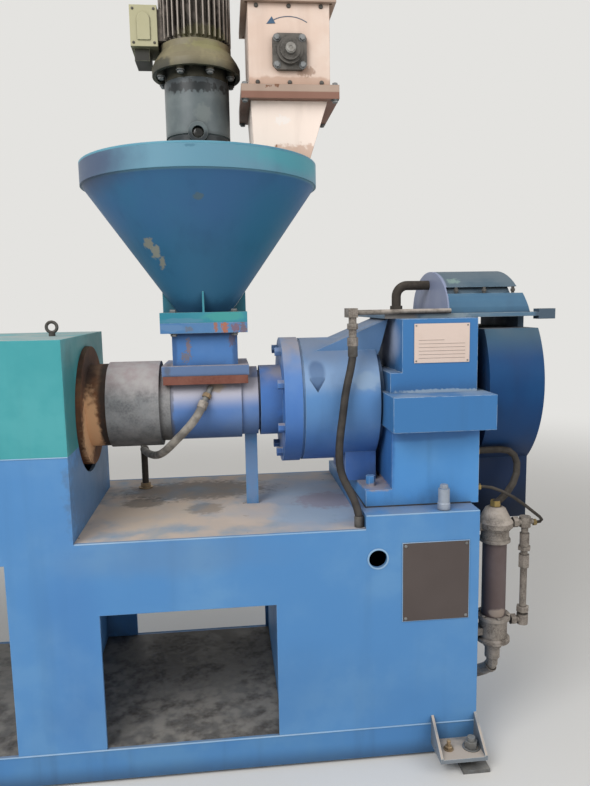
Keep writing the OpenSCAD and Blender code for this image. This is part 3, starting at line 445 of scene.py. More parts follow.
def bareMetal(name, on=(), **changes):
    look = {**metalDefaults, **changes}
    tree = startMaterial(name, on)
    where = addNode(tree, "TexCoord", out="Object")
    facing = addNode(tree, "NewGeometry", out="Normal")
    rounded = addNode(tree, "Bevel", {"Radius": look["edgeRadius"] / 1000}, samples=4)

    tone = noiseMask(tree, where, look["patchSize"], 0.5 - look["scaleShare"] / 3, 0.62, detail=9)
    fine = noiseMask(tree, where, look["patchSize"] / 8, 0.3, 0.7, detail=6)
    speckled = addNode(tree, "Math", {0: product(tree, fine, 0.6), 1: 0.4}, **adding)
    mottled = product(tree, tone, speckled)
    colour = layer(tree, look["metal"], look["scale"], mottled, min(1, look["scaleShare"] * 1.6))
    colour = paintBands(tree, where, colour, look["bands"])

    caked = noiseMask(tree, where, look["cakeSize"], 0.35, 0.65, detail=10)
    lying = addNode(tree, "Math", {0: upward(tree, facing, -0.2, 0.9), 1: 0.2}, **adding)
    powder = product(tree, lying, caked, look["powderShare"])
    colour = layer(tree, colour, look["powder"], powder)

    # Oil, and painted shade, darken corners and recesses
    dirtAndShade = product(tree, corners(tree, look["grimeReach"], 0.85), look["grimeShare"])
    colour = layer(tree, colour, look["oilAndShade"], dirtAndShade)
    colour = paintSpots(tree, where, colour, look["spots"])

    dull = mottled
    for share in (powder, dirtAndShade):
        dull = addNode(tree, "Math", {0: dull, 1: share}, **larger)
    metallic = look["metallic"]
    shine = addNode(tree, "MapRange", {"Value": dull, "To Min": metallic, "To Max": metallic * 0.15})
    rough = addNode(tree, "MapRange", {"Value": dull, "To Min": look["roughness"], "To Max": 0.88})
    bump = grainBump(tree, where, look, 5, rounded)
    closeMaterial(tree, {"Base Color": colour, "Roughness": rough, "Metallic": shine,
                         "Specular IOR Level": 0.35, "Normal": bump})


# Rubber hose: extruded and matt, with fine wrap lines and pale dust.
def hoseRubber(name, rubber, dust, dustShare, wrapSpacing=3.5):
    tree = startMaterial(name)
    where = addNode(tree, "TexCoord", out="Object")
    smudge = noiseMask(tree, where, 18, 0.35, 0.7, detail=8)
    colour = layer(tree, rubber, dust, smudge, dustShare)
    wraps = {"Vector": where, "Scale": 1000 / wrapSpacing / math.tau, "Distortion": 2}
    wrap = addNode(tree, "TexWave", wraps, 1, bands_direction="Z")
    bump = addNode(tree, "Bump", {"Height": wrap, "Strength": 0.5, "Distance": 0.0003})
    closeMaterial(tree, {"Base Color": colour, "Roughness": 0.62, "Specular IOR Level": 0.35,
                         "Normal": bump})


# Toughened glass in the oil sight: nearly black, with a sharp gloss.
def darkGlass(name, tint, film):
    tree = startMaterial(name)
    where = addNode(tree, "TexCoord", out="Object")
    smear = noiseMask(tree, where, 9, 0.35, 0.7)
    colour = layer(tree, tint, film, smear, 0.4)
    rough = addNode(tree, "Math", {0: product(tree, smear, 0.3), 1: 0.06}, **adding)
    closeMaterial(tree, {"Base Color": colour, "Roughness": rough, "IOR": 1.52})


# Bed: sprayed on welded plate, with faint runs and pale rubbed seams
enamel(
    "bedEnamel",
    on=["bed_front", "bed_back", "bed_cross_walls", "raised_walls", "gear_pad",
        "barrel_saddles", "support_post"],
    paint="#5289c0", faded="#6a9ac6", grainSize=4, streakShare=0.1, spots=[
        # Painted shade and dirt on the end wall of the raised part
        spot((-386, -20, 880), (30, 330, 150), "#56677d", 0.5),
        spot((-120, -330, 700), (260, 20, 55), "#6d86a0", 0.3, soft=0.6, grain=60),
        spot((60, -330, 240), (500, 20, 120), "#3f6796", 0.2, soft=0.6, grain=80),
        spot((140, 10, 870), (30, 30, 150), "#7f8dab", 0.5, grain=20),
        spot((-400, -330, 430), (70, 20, 380), "#3f6fae", 0.25, soft=0.7, grain=80),
    ],
)
enamel(
    "railEnamel", on=["base_rails"], paint="#4c82b8", faded="#5f8fb8", grimeShare=0.35, streakShare=0.3,
    bands=[(70, 8, "#2f4660", 0.6)],
)
enamel(
    "weldEnamel", paint="#86aed2", faded="#a9c6de", grainSize=1.5, grainDepth=0.2, edgeRadius=1,
    grimeShare=0.35,
)

# Table and floor: paint and bare plate under spilt plastic powder and oil
enamel(
    "tableEnamel", on=["bed_deck"], paint="#8a9db0", faded="#a3a8aa", dust="#c6b6a8", dustShare=1,
    chip="#57504a", chipShare=0.035, patchSize=120, fadedShare=0.6, gloss=0.6, grimeShare=0.8, spots=[
        spot((340, 0, 750), (190, 330, 20), "#90a4bc", 0.8, ragged=1, soft=0.5, grain=40),
        spot((-200, -60, 750), (150, 170, 20), "#cbb9a6", 0.75, grain=30),
        spot((-60, 190, 750), (260, 120, 20), "#5a5652", 0.6),
        spot((120, -110, 750), (110, 110, 20), "#d0bfb0", 0.6, grain=25),
        spot((330, -140, 750), (130, 110, 20), "#9db0c4", 0.7, grain=25),
        spot((400, -10, 750), (110, 90, 20), "#8d7f8c", 0.6),
        spot((-230, 60, 750), (70, 60, 20), "#33302d", 0.55),
        spot((-20, -40, 750), (60, 60, 20), "#6b6258", 0.5),
    ],
)
bareMetal(
    "floorSteel", on=["bed_floor"], metal="#6c6b69", scale="#4a4440", powder="#97938c", powderShare=0.7,
    metallic=0.2, spots=[
        spot((-60, 290, 112), (300, 240, 30), "#24211f", 0.8, ragged=0.5, soft=0.8, grain=60),
    ],
)

# Brackets and small steel: zinc that has gone dull, dark oiled heads, brass passivation
enamel(
    "footEnamel", on=["foot_brackets"], paint="#7a828a", faded="#8a8d8f", dust="#b9ada1", dustShare=1.3,
    chipShare=0.03, edge="#c3cfd4", edgeShare=0.9, edgeRadius=2,
)
bareMetal("brightZinc", metal="#a5aebb", scale="#767d86", powder="#9ba5b1", roughness=0.4, metallic=0.35)
bareMetal(
    "zincBolt", on=["levelling_feet", "cooling_barb"], metal="#8b8e90", scale="#5f5b55", roughness=0.42,
)
bareMetal("darkBolt", on=["cover_ring"], metal="#5c5a57", scale="#3c352e", powderShare=0.25, metallic=0.4)
bareMetal("brassBolt", metal="#b39a78", scale="#6b5640", powder="#b7a78e", metallic=0.5, roughness=0.45)

# Access panel: matt powder coat, almost without wear
enamel(
    "panelPaint", on=["access_panel"], paint="#524946", faded="#5c5350", grime="#3f3837", fadedShare=0.3,
    edge="#7b7370", grainSize=1.6, grainDepth=0.09, gloss=0.55, edgeShare=0.3, streakShare=0.05,
)

# Barrel cover: glossy teal on sheet metal, with powder on its top
enamel(
    "coverEnamel", on=["barrel_cover"], paint="#41999f", faded="#5fb0b4", grime="#2f5a60",
    dust="#c2bab4", dustShare=0.6, fadedShare=0.25, edge="#8ad0cf", spots=[
        # Painted shade on the cover's end face
        spot((-386, 0, 1290), (10, 300, 70), "#3a7f80", 0.6, ragged=0.5),
        spot((-386, -250, 1130), (10, 76, 190), "#347476", 0.6, ragged=0.3),
    ],
)

# Jacket: machined iron caked with powder, so matt and cloudy, with painted shade underneath
bareMetal(
    "jacketIron", on=["barrel_jacket", "barrel", "die_flange"], metal="#8a8b8c", scale="#666769",
    powder="#b2aeac", powderShare=0.8, metallic=0.12, roughness=0.75, grainDepth=0.35, grainSize=2.4,
    patchSize=26, scaleShare=0.75, bands=[
        # Painted shade on the underside, and paler towards the top
        (1080, 985, "#42413f", 0.8), (1130, 1215, "#b2a2a0", 0.75),
    ],
)

# Rusted iron: brown scale, tan where it is rubbed, dark near its top, with painted shadow beside the jacket
bareMetal(
    "rustIron", on=["barrel_flange"], metal="#513a2d", scale="#7d5033", powder="#a3876a", metallic=0.08,
    scaleShare=0.8, roughness=0.8, grainDepth=0.4, grainSize=3, patchSize=70, spots=[
        spot((-376, -70, 1215), (30, 120, 80), "#2b2523", 0.6, ragged=0.6, soft=0.6),
        # Painted shadow on the right end, in the gap next to the jacket
        spot((-320, 0, 1105), (20, 175, 175), "#2c2724", 0.9, ragged=0.3),
        spot((-360, -90, 1046), (28, 92, 122), "#dfb389", 0.85, ragged=0.9, grain=8),
    ],
)
bareMetal(
    "rustBar", on=["feed_bars"], metal="#7f5044", scale="#663a30", powder="#a98571", powderShare=0.25,
    metallic=0.08, roughness=0.75, patchSize=30,
)

# Feed housing and throat: thin paint on cast iron, pale on top from dust and a painted highlight, flaked at
# the edges
enamel(
    "feedEnamel", on=["feed_housing"], paint="#5b80ba", faded="#7c95bb", grime="#333f57", dust="#a49a9a",
    dustShare=0.95, fadedShare=0.5, edge="#b9bcc4", bands=[
        # Painted shade below, a painted highlight with dust on top, and a darker blue strip above that
        (1085, 985, "#344c73", 0.68), (1088, 1158, "#c8c2c6", 0.85), (1186, 1192, "#4d6c96", 0.9),
    ], spots=[
        spot((30, -115, 1165), (26, 40, 20), "#a08f78", 0.7),
        # Painted shadow near the left end, beside the jacket
        spot((-118, -60, 1105), (16, 120, 150), "#5d5f66", 0.7),
    ],
)
enamel(
    "ductEnamel", on=["throat_duct"], paint="#4878b4", faded="#6990c0", grime="#2e3b54", dustShare=0.6,
    spots=[
        spot((-52, -102, 1296), (7, 20, 26), "#8a6f5a", 0.7, ragged=3.4, grain=3),
        spot((-60, -102, 1262), (15, 20, 14), "#7a6a58", 0.65, ragged=3.4, grain=3),
        spot((86, -102, 1314), (11, 20, 20), "#6d5346", 0.65, ragged=3.4, grain=3),
        spot((-96, -102, 1280), (8, 20, 60), "#2f4468", 0.5, ragged=1, soft=0.6),
        spot((96, -102, 1270), (10, 20, 60), "#2f4468", 0.6, ragged=1, soft=0.6),
        spot((0, -102, 1336), (110, 20, 10), "#22304f", 0.7, ragged=0.4, soft=0.5),
    ],
)
enamel(
    "rustyFlangeEnamel", on=["throat_flange"], paint="#4a78a8", faded="#6f90ae", edge="#9fb4c4",
    edgeShare=0.6, spots=[
        spot((36, -134, 1356), (5, 20, 22), "#a4673f", 0.8, ragged=3.4, grain=3),
        spot((64, -134, 1356), (9, 20, 24), "#b0683c", 0.85, ragged=3.4, grain=3),
        spot((98, -134, 1354), (13, 20, 15), "#875043", 0.65, ragged=3.4, grain=3),
        spot((120, -134, 1350), (9, 20, 18), "#7d553f", 0.65, ragged=3.4, grain=3),
        spot((-46, -134, 1350), (12, 20, 9), "#6b6a68", 0.6, ragged=2.4, grain=5),
        spot((-100, -134, 1354), (40, 20, 12), "#6d8cae", 0.5, ragged=1.4),
    ],
)

# Drive end: brushed enamel on castings, so slightly lumpy, with bright corners of worn paint and painted
# highlight
enamel(
    "neckEnamel", on=["drive_neck"], paint="#4877bb", faded="#6d90c0", dust="#a39a98", dustShare=0.8,
    bands=[
        # Painted shade on the underside and a painted highlight on top
        (1080, 960, "#2c4a86", 0.55), (1190, 1290, "#8fa6c0", 0.45),
    ],
)
enamel(
    "bellEnamel", on=["lantern"], paint="#5b89bd", faded="#83a5c8", fadedShare=0.5, grainSize=5,
    grainDepth=0.12, patchSize=120, bands=[
        # Painted shade on the underside, a painted sheen across the upper half, and a deeper blue at the top
        (1095, 930, "#22509f", 0.68), (1130, 1185, "#96adca", 0.55), (1205, 1265, "#426f9f", 0.68),
    ], spots=[
        spot((500, -190, 1180), (45, 40, 30), "#93abc4", 0.7),
        spot((344, -170, 1200), (26, 26, 62), "#24436f", 0.5, ragged=0.2),
    ],
)
enamel(
    "caseEnamel", on=["gearbox_lower", "gearbox_joint", "gearbox_upper"], paint="#5090cd",
    faded="#6ca5d8", grainSize=6, grainDepth=0.1, fadedShare=0.25, dustShare=0.5, dust="#a9b4bc",
    edge="#c3d2dc", edgeShare=0.75, edgeRadius=3.5, bands=[(1028, 1040, "#3e76ad", 1)], spots=[
        # Painted light and shade: a greyed patch on the upper case's left face, which lies in shade
        spot((590, -50, 1300), (16, 178, 86), "#a9b6d0", 0.9, ragged=0.1),
        spot((720, -232, 1146), (150, 6, 7), "#b9c6cc", 0.5, ragged=1.8, grain=5),
        # Painted shadow under the joint flange
        spot((600, -250, 1022), (300, 8, 26), "#3c68a2", 0.6, ragged=0.3),
        # Painted shade on the lower case's left face
        spot((563, -60, 960), (14, 220, 180), "#2f62a4", 0.75, ragged=0.4),
        spot((520, -120, 847), (60, 140, 10), "#a99890", 0.7),
    ],
)
enamel(
    "guardEnamel", on=["belt_guard"], paint="#013868", faded="#074a7c", grime="#17233a", grimeShare=0.7,
    edge="#4f7f9e", edgeShare=0.3, bands=[
        # Painted light on the drum's top, painted shade below it, and black painted shade in the dark space
        # beneath
        (1230, 1330, "#3d5a68", 0.8), (1020, 880, "#0f2342", 0.85), (860, 720, "#13171f", 0.65),
    ],
)

# Top plate and hood: greyed by dust, with a lid that has darkened
enamel(
    "topPlateEnamel", on=["top_plate"], paint="#4f7089", faded="#7d919c", dust="#a09a92", dustShare=0.9,
    edge="#b9c3c4", edgeShare=0.8, spots=[
        spot((610, -150, 1376), (60, 10, 12), "#8a8178", 0.8),
        spot((760, -150, 1376), (80, 10, 12), "#97a3a6", 0.7),
        spot((1098, -150, 1376), (40, 40, 30), "#45525f", 0.85, ragged=0.2),
    ],
)
enamel(
    "hoodEnamel", on=["terminal_box"], paint="#406886", faded="#567d94", dust="#76878e", dustShare=0.5,
    grimeShare=0.7,
)
enamel(
    "lidEnamel", on=["terminal_lid"], paint="#3a5466", faded="#516a78", dust="#6e7a82", dustShare=0.7,
    spots=[
        spot((776, 40, 1450), (10, 260, 160), "#9aa1be", 0.75, ragged=0.4),
        spot((815, -80, 1490), (22, 30, 12), "#94aea2", 0.5, ragged=2.4, grain=5),
    ],
)

# Blank plate: etched aluminium, satin, with grey printed rules
bareMetal(
    "platePaint", on=["nameplate"], metal="#dcc8bc", scale="#cdb8aa", powder="#e6d8cc", metallic=0.1,
    grimeShare=0.2, scaleShare=0.2, powderShare=0.1, grainDepth=0.02,
)
bareMetal("plateInk", metal="#8a7a74", scale="#9a8a82", powder="#b5a59b", metallic=0, roughness=0.6)

# Hopper: blue over an older teal, which shows at the rim, the flange and the chips
enamel(
    "coneEnamel", on=["hopper_cone"], paint="#386692", faded="#357392", dust="#6f8f96", patchSize=260,
    streakShare=0.22, grime="#214060", fadedShare=0.3, edge="#4a93a4", bands=[
        (1700, 1560, "#2d6a86", 0.55), (1560, 1420, "#34698a", 0.5), (1781, 1788, "#628fa3", 1),
    ], spots=[
        # Painted shade greys the left side near the rim
        spot((-320, -190, 1820), (160, 210, 60), "#47546e", 0.95, ragged=0.3, soft=0.6),
        spot((290, -230, 1836), (170, 180, 38), "#3f9ea9", 0.6, ragged=0.5, soft=0.5),
        spot((-152, -176, 1606), (15, 40, 15), "#8f8a78", 0.8, ragged=2, grain=6),
        spot((-133, -172, 1580), (15, 40, 20), "#959280", 0.8, ragged=2, grain=6),
        spot((-116, -165, 1548), (10, 40, 18), "#8f8a78", 0.8, ragged=2, grain=6),
        spot((230, -200, 1640), (110, 200, 130), "#1f7488", 0.4, ragged=0.4, soft=0.7, grain=60),
        spot((-14, -362, 1842), (17, 30, 4), "#3f6c80", 0.6, ragged=1.6, grain=4),
        spot((2, -305, 1720), (14, 40, 9), "#5e6a58", 0.5, ragged=1.8, grain=6),
    ],
)
enamel("rimEnamel", on=["hopper_lid"], paint="#548fa5", faded="#6da5b3", dust="#93a8a4", dustShare=0.6)
enamel(
    "flangeEnamel", on=["hopper_flange"], paint="#2f7f92", faded="#4f98a2", edge="#7fb0b2", spots=[
        spot((60, -134, 1388), (60, 10, 14), "#4aa093", 0.6),
        spot((-70, -134, 1376), (60, 10, 8), "#5a86a0", 0.6),
    ],
)

# Agitator drive: grey and olive enamel over castings, wet with old oil and darkened by painted shade in the
# corners
enamel(
    "driveEnamel", on=["gear_unit"], paint="#5f6769", faded="#7a8281", grime="#1f2426", grimeShare=1,
    grainSize=3, grainDepth=0.15, gloss=0.3, edge="#aeb4ae", patchSize=60, bands=[
        # Painted shade at the base, and painted shadow with old oil under the motor flange
        (1952, 1930, "#23272b", 0.9), (2040, 2098, "#363b3f", 0.85),
    ], spots=[
        spot((-5, -100, 2074), (110, 70, 14), "#16191b", 0.85, ragged=3, grain=7),
        # A faint painted highlight
        spot((20, -98, 1998), (26, 20, 26), "#a9ada4", 0.15, grain=6),
    ],
)
bareMetal("sightRing", metal="#8f9c98", scale="#6a746f", powder="#aab4ae", metallic=0.3, roughness=0.35)
enamel(
    "oliveCasting", on=["motor_flange"], paint="#776f58", faded="#958c6c", grime="#191a17",
    grimeShare=1, dust="#8e8a6c", dustShare=0.7, grainSize=4, grainDepth=0.35, patchSize=30,
    edge="#a7a487", chip="#46433a", chipShare=0.05, bands=[(2146, 2118, "#2a2a24", 0.75)], spots=[
        spot((-110, -80, 2135), (50, 60, 22), "#3a3a35", 0.8),
        spot((40, -110, 2190), (60, 60, 14), "#8b8a58", 0.4, ragged=1.8, grain=6),
    ],
)
enamel(
    "motorEnamel", on=["motor"], paint="#9c9289", faded="#b3a79c", grime="#231f1c", grimeShare=1,
    grimeReach=26, dust="#918a78", dustShare=0.6, patchSize=60, edge="#bdb2a4", edgeShare=0.7, spots=[
        spot((40, -100, 2225), (90, 60, 26), "#77753f", 0.35, grain=7),
    ],
)
enamel(
    "boxEnamel", on=["motor_box"], paint="#a9a483", faded="#bfba9c", grime="#4a4832", edge="#cfd0ae",
    dust="#b8b894", bands=[(2199, 2194, "#2b2a26", 1)],
)

# Feeder: beige enamel, chipped to brown primer along its flanges, with painted shade on the lower flange
enamel(
    "feederEnamel", on=["feeder_housing", "feed_chute"], paint="#dcc4b4", faded="#e6d5c8",
    grime="#86634e", dust="#e6d6c6", chip="#8a6450", chipShare=0.02, streakShare=0.22, edge="#a77f68",
    edgeShare=0.7, grimeShare=0.5, patchSize=80, bands=[(2035, 2022, "#ffecdf", 1)], spots=[
        spot((258, -118, 1975), (20, 60, 12), "#ffffff", 0.3, ragged=2.6, grain=5),
        spot((279, -130, 2078), (150, 10, 16), "#b08b74", 0.55),
        spot((330, -130, 2110), (26, 10, 14), "#8d6a54", 0.6, ragged=2, grain=4),
        spot((300, -110, 1880), (90, 60, 26), "#b0764e", 0.5, ragged=1.8, grain=7),
    ],
)
enamel(
    "feederFlangeEnamel", on=["feeder_flanges"], paint="#a99384", faded="#bfaa9a", grime="#5e4030",
    # Painted shade on the lower flange
    chip="#7d5a45", chipShare=0.06, edge="#8d6650", bands=[(2049, 2045, "#7a4a3a", 0.75)],
)
enamel("signPaint", paint="#3f5a74", faded="#56708a", grimeShare=0.2, edgeShare=0.1)

# Bearings and shaft: greasy cast iron, ground steel
bareMetal(
    "bearingIron", on=["feeder_bearings"], metal="#6a6661", scale="#35322e", powder="#97918a",
    roughness=0.3, metallic=0.5, patchSize=20, powderShare=0.4,
)
bareMetal(
    "shaftSteel", on=["feeder_rotor"], metal="#a8a5a0", scale="#6f6a62", roughness=0.35, powderShare=0.2,
)

# Oil cooler: dark enamel on the shell, galvanised fittings with white bloom, brass nuts
enamel(
    "coolerEnamel", on=["cooler_shell"], paint="#594b49", faded="#6f6363", dustShare=0.6,
    grime="#2e2828", dust="#a59a90", edge="#8a7f7a", streakShare=0.2, spots=[
        spot((906, -272, 425), (42, 20, 14), "#a29488", 0.8),
    ],
)
bareMetal(
    "galvanised", on=["cooler_heads", "cooler_bypass", "cooler_elbow", "oil_feed"], metal="#978f86",
    scale="#554d46", powder="#bdb2a7", powderShare=0.75, metallic=0.25, grimeShare=0.9, patchSize=18,
    scaleShare=0.8,
)
bareMetal(
    "pipeIron", on=["cooling_pipe", "cable_elbow"], metal="#4a433c", scale="#2f2a25", powder="#7a7066",
    metallic=0.15, roughness=0.7,
)
bareMetal(
    "dirtyBrass", metal="#a58e58", scale="#5d5038", powder="#a59a86", metallic=0.7, roughness=0.38,
    patchSize=20,
)
bareMetal(
    "linePipe", on=["oil_pipe"], metal="#3f3a34", scale="#2c2824", powder="#6a6258", metallic=0.1,
    roughness=0.65,
)

# Hoses and the oil sight
hoseRubber("blackRubber", "#2a2725", "#5a534c", 0.35)
hoseRubber("greyRubber", "#6d6862", "#a49d93", 0.8)
darkGlass("sightGlass", "#0d0f0e", "#3c3a30")
print("finishes made:", len(finishes))


# Hoses, with a pressed sleeve on each end
oilHose = {
    "route": [
        (450, -212, 1291), (450, -212, 1264), (442, -218, 1222), (431, -226, 1180), (422, -232, 1140),
        (413, -238, 1080), (405, -243, 1030), (400, -248, 985), (399, -252, 945), (403, -258, 912),
        (413, -266, 882), (426, -275, 855), (438, -284, 828), (446, -292, 800), (450, -299, 775),
        (450, -299, 750),
    ],
    "radius": 12,
    "length": 0.564,
    "ways": ((0, 0, -1), (0, 0, 1)),  # into the hose, at its start and at its end
    "sleeveLengths": (33, 33),
    "sleeve": (12.2, 15, 0, 3),       # bore, outer radius, and a taper at either end
}
coolingHose = {
    "route": [
        (-8, -134, 1122), (-19, -147, 1100), (-41, -156, 1067), (-67, -156, 1038), (-94, -142, 1010),
        (-119, -114, 982), (-142, -70, 956), (-166, -10, 933), (-190, 55, 917), (-211, 112, 909),
        (-228, 160, 906), (-238.5, 196.5, 905), (-243, 222, 905),
    ],
    "radius": 13,
    "length": 0.568,
    "ways": ((-22, -26, -44), (6, -34, 0)),
    "sleeveLengths": (24, 22),
    "sleeve": (13.3, 15.5, 0.5, 2),
}


def layHose(name, hose, finish, node):
    mesh = bmesh.new()
    tube(mesh, smoothRoute(hose["route"], 4), hose["radius"], sides=20)
    piece = finishPiece(name, mesh, finish)
    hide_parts(node)


def crimpHose(name, hose, finish):
    bore, outer, lead, taper = hose["sleeve"]
    mesh = bmesh.new()
    ends = (hose["route"][0], hose["route"][-1])
    for at, way, length in zip(ends, hose["ways"], hose["sleeveLengths"]):
        mouth = ((bore + outer) / 2, length)
        profile = [(bore, 0), (outer, lead), (outer, length - taper), mouth, (bore, length)]
        turned(mesh, profile, at, way, 28, hollow=True)
    finishPiece(name, mesh, finish)


layHose("oilHose", oilHose, "blackRubber", "oil_hose")
layHose("coolingHose", coolingHose, "greyRubber", "cooling_hose")
crimpHose("oilCrimps", oilHose, "darkBolt")
crimpHose("coolingCrimps", coolingHose, "galvanised")
print("hoses laid")


# Bed: weld beads along the base rails, edge lines of worn paint and painted highlight, the panel's bead and
# screws, the peep hole's lip
bedTrim = {
    "ends": (-2184, 816),
    "sides": (-330, 390),
    "seamHeight": 107,
    "edgeWearAndHighlights": [((-384, 464), -330, 750), ((466, 815), -330, 792)],
    "edgeInset": 1.4,
    "beadRadius": 2.4,
    "panel": (576.5, 783.5, 453, 701),
    "panelFace": -333,
    "panelBead": 2.2,
    "screwInset": 9,
    "screwHead": 5,
    "peep": (501, -330, 656),
    "lip": [(28, -2), (33, -2), (33, 1), (31.5, 2.2), (28, 2.2)],
}


def bedPieces(trim):
    seams = [[(x, y, trim["seamHeight"]) for x in trim["ends"]] for y in trim["sides"]]
    beads("railWelds", seams, trim["beadRadius"])
    # Pale lines along the front edges of the table and the pad: worn paint and a painted highlight
    inset = trim["edgeInset"]
    edges = [[(x, y + inset, z - inset) for x in ends] for ends, y, z in trim["edgeWearAndHighlights"]]
    beads("edgeWearAndHighlights", edges, trim["beadRadius"])

    left, right, low, high = trim["panel"]
    y = trim["panelFace"] + 2
    outline = [(left, y, low), (left, y, high), (right, y, high), (right, y, low)]
    beads("panelBead", [outline], trim["panelBead"], closed=True)
    panelScrews("panelScrews", trim["panel"], trim["panelFace"], trim["screwInset"], trim["screwHead"])

    lip = bmesh.new()
    turned(lip, trim["lip"], trim["peep"], (0, -1, 0), 40, hollow=True)
    finishPiece("peepLip", lip, "weldEnamel")


bedPieces(bedTrim)


# Barrel cover: a bead along its foot, folded seams between its sheets and screws beside them
coverTrim = {
    "ends": (-2184, -386),
    "sides": (-330, 290),
    "foot": 1005,
    "seams": (-985, -1585),
    "seamHeights": (1008, 1335),
    "beadRadius": 1.8,
    "screwHeights": (1040, 1170, 1300),
    "screwReach": 14,
    "screwHead": 5,
}


def coverPieces(trim):
    near, far = trim["sides"]
    feet = [[(x, y, trim["foot"]) for x in trim["ends"]] for y in (near, far)]
    beads("coverBead", feet, trim["beadRadius"])
    low, high = trim["seamHeights"]
    seams = [[(x, near, low), (x, near, high), (x, far, high), (x, far, low)] for x in trim["seams"]]
    beads("coverSeams", seams, trim["beadRadius"], "coverEnamel")
    places = [((x + reach, y, z), (0, way, 0)) for x in trim["seams"] for z in trim["screwHeights"]
              for reach in (-trim["screwReach"], trim["screwReach"]) for way, y in ((-1, near), (1, far))]
    fixings("coverScrews", screw, places, trim["screwHead"])


coverPieces(coverTrim)


# Feet: an anchor bolt with its thread beside each levelling bolt, and a washer under each nut
footTrim = {
    "starts": (670, -1378, -2184),
    "rows": (-380, 440),
    "plateTop": 52,
    "anchor": 40,
    "anchorHead": 12,
    "thread": [(6, 8), (6, 28), (4.5, 30)],
    "level": 112,
    "washer": (21.5, 27, 0, 3),
}


def footPieces(trim):
    anchors = bmesh.new()
    washers = bmesh.new()
    top = trim["plateTop"]
    for start in trim["starts"]:
        for y in trim["rows"]:
            hole = (start + trim["anchor"], y, top)
            bolt(anchors, hole, (0, 0, 1), trim["anchorHead"], spin=0.1)
            turned(anchors, trim["thread"], hole)
            collar(washers, *trim["washer"], (start + trim["level"], y, top), sides=32)
    finishPiece("anchorBolts", anchors, "brassBolt")
    finishPiece("footWashers", washers, "zincBolt")


footPieces(footTrim)


# Cooling line: nuts on the barb and at the foot of the pipe, given in the way that collar takes them
coolingTrim = {
    "barbNut": (9.2, 14, 16, 29, (-8, -134, 1122), (22, 26, 44), 6),
    "footPlate": (12.2, 26, 0, 5, (-249, 256, 750), (0, 0, 1), 32),
    "footNut": (12.2, 18, 5, 20, (-249, 256, 750), (0, 0, 1), 6),
}


def coolingPieces(trim):
    nuts = bmesh.new()
    for nut in trim.values():
        collar(nuts, *nut)
    finishPiece("coolingNuts", nuts, "brassBolt")


coolingPieces(coolingTrim)


# Throat: bolts through the square flanges
throatFlange = {"centre": (0, 0), "reach": (94, 118), "faces": ((1, 1401), (-1, 1337)), "head": 10}
flangeBolts("throatBolts", throatFlange)


# Gear case: jack screws, a black bead at its foot that is painted shadow, rivets and rules of the blank
# plate, pins of the hood
gearTrim = {
    "jacks": [(712, -301.5, 792), (712, 301.5, 792)],
    "sleeve": [(15.8, 1), (19.5, 1), (19.5, 20), (17.5, 22), (17.5, 65), (15.8, 66)],
    "tip": [(15.5, 66.3), (15.5, 68), (13, 68.3), (13, 76), (11, 78)],
    "plate": (637, 811, 1235, 1355),
    "plateFace": -232,
    "rivetInset": 6,
    "rivetHead": 2.6,
    "rules": 6,
    "ruleInset": 14,
    "rulePitch": 11,
    "lastRule": 80,          # room beside the last rule, which is the short one
    "ruleWidth": 1,
    "sunk": 0.1,
    "raised": 0.4,
    "shadowBead": (480, 816, 251, 794),
    "shadowBeadRadius": 2,
    "pins": [(x, y, 1445) for y in (-100, 242) for x in (812, 906, 1003)],
    "pinStem": [(5, 0.5), (5, 20.5)],
    "pinNut": [(8, 6), (8, 14)],
}


def gearPieces(trim):
    jacks = bmesh.new()
    for at in trim["jacks"]:
        turned(jacks, trim["sleeve"], at, sides=28, hollow=True)
        turned(jacks, trim["tip"], at, sides=6)
    finishPiece("jackScrews", jacks, "brightZinc", bevel=0.6)

    face = trim["plateFace"]
    panelScrews("plateRivets", trim["plate"], face, trim["rivetInset"], trim["rivetHead"])
    left, right, low, high = trim["plate"]
    rules = bmesh.new()
    for i in range(trim["rules"]):
        z = low + trim["ruleInset"] + i * trim["rulePitch"]
        room = trim["ruleInset"] if i < trim["rules"] - 1 else trim["lastRule"]
        start, end, top = left + trim["ruleInset"], right - room, z + trim["ruleWidth"]
        outline = [(start, z), (end, z), (end, top), (start, top)]
        plateOf(rules, outline, face + trim["sunk"], face - trim["raised"])
    finishPiece("plateRules", rules, "plateInk")

    # A black bead round the foot of the case: painted shadow in the gap over the pad
    start, end, half, z = trim["shadowBead"]
    shadowBead = [(end, -half, z), (start, -half, z), (start, half, z), (end, half, z)]
    beads("caseFootShadow", [shadowBead], trim["shadowBeadRadius"], "blackRubber")

    pins = bmesh.new()
    for at in trim["pins"]:
        turned(pins, trim["pinStem"], at, sides=16)
        turned(pins, trim["pinNut"], at, sides=6)
    finishPiece("slitPins", pins, "darkBolt")


gearPieces(gearTrim)


# Oil line: union nuts on the cooler's pipes
oilTrim = {
    "unions": [((841, -192, 945), (1, 0, 0), 11), ((906, -230, 770), (0, 0, 1), 11),
               ((841, -236, 838), (1, 0, 0), 5), ((1032, -230, 710), (1, 0, 0), 5)],
    "gap": 0.3,
    "wall": 6,
}


def oilPieces(trim):
    unions = bmesh.new()
    for at, way, pipe in trim["unions"]:
        collar(unions, pipe + trim["gap"], pipe + trim["wall"], 0.5, pipe * 1.4 + 4, at, way, 6)
    finishPiece("oilUnions", unions, "dirtyBrass", bevel=0.6)


oilPieces(oilTrim)


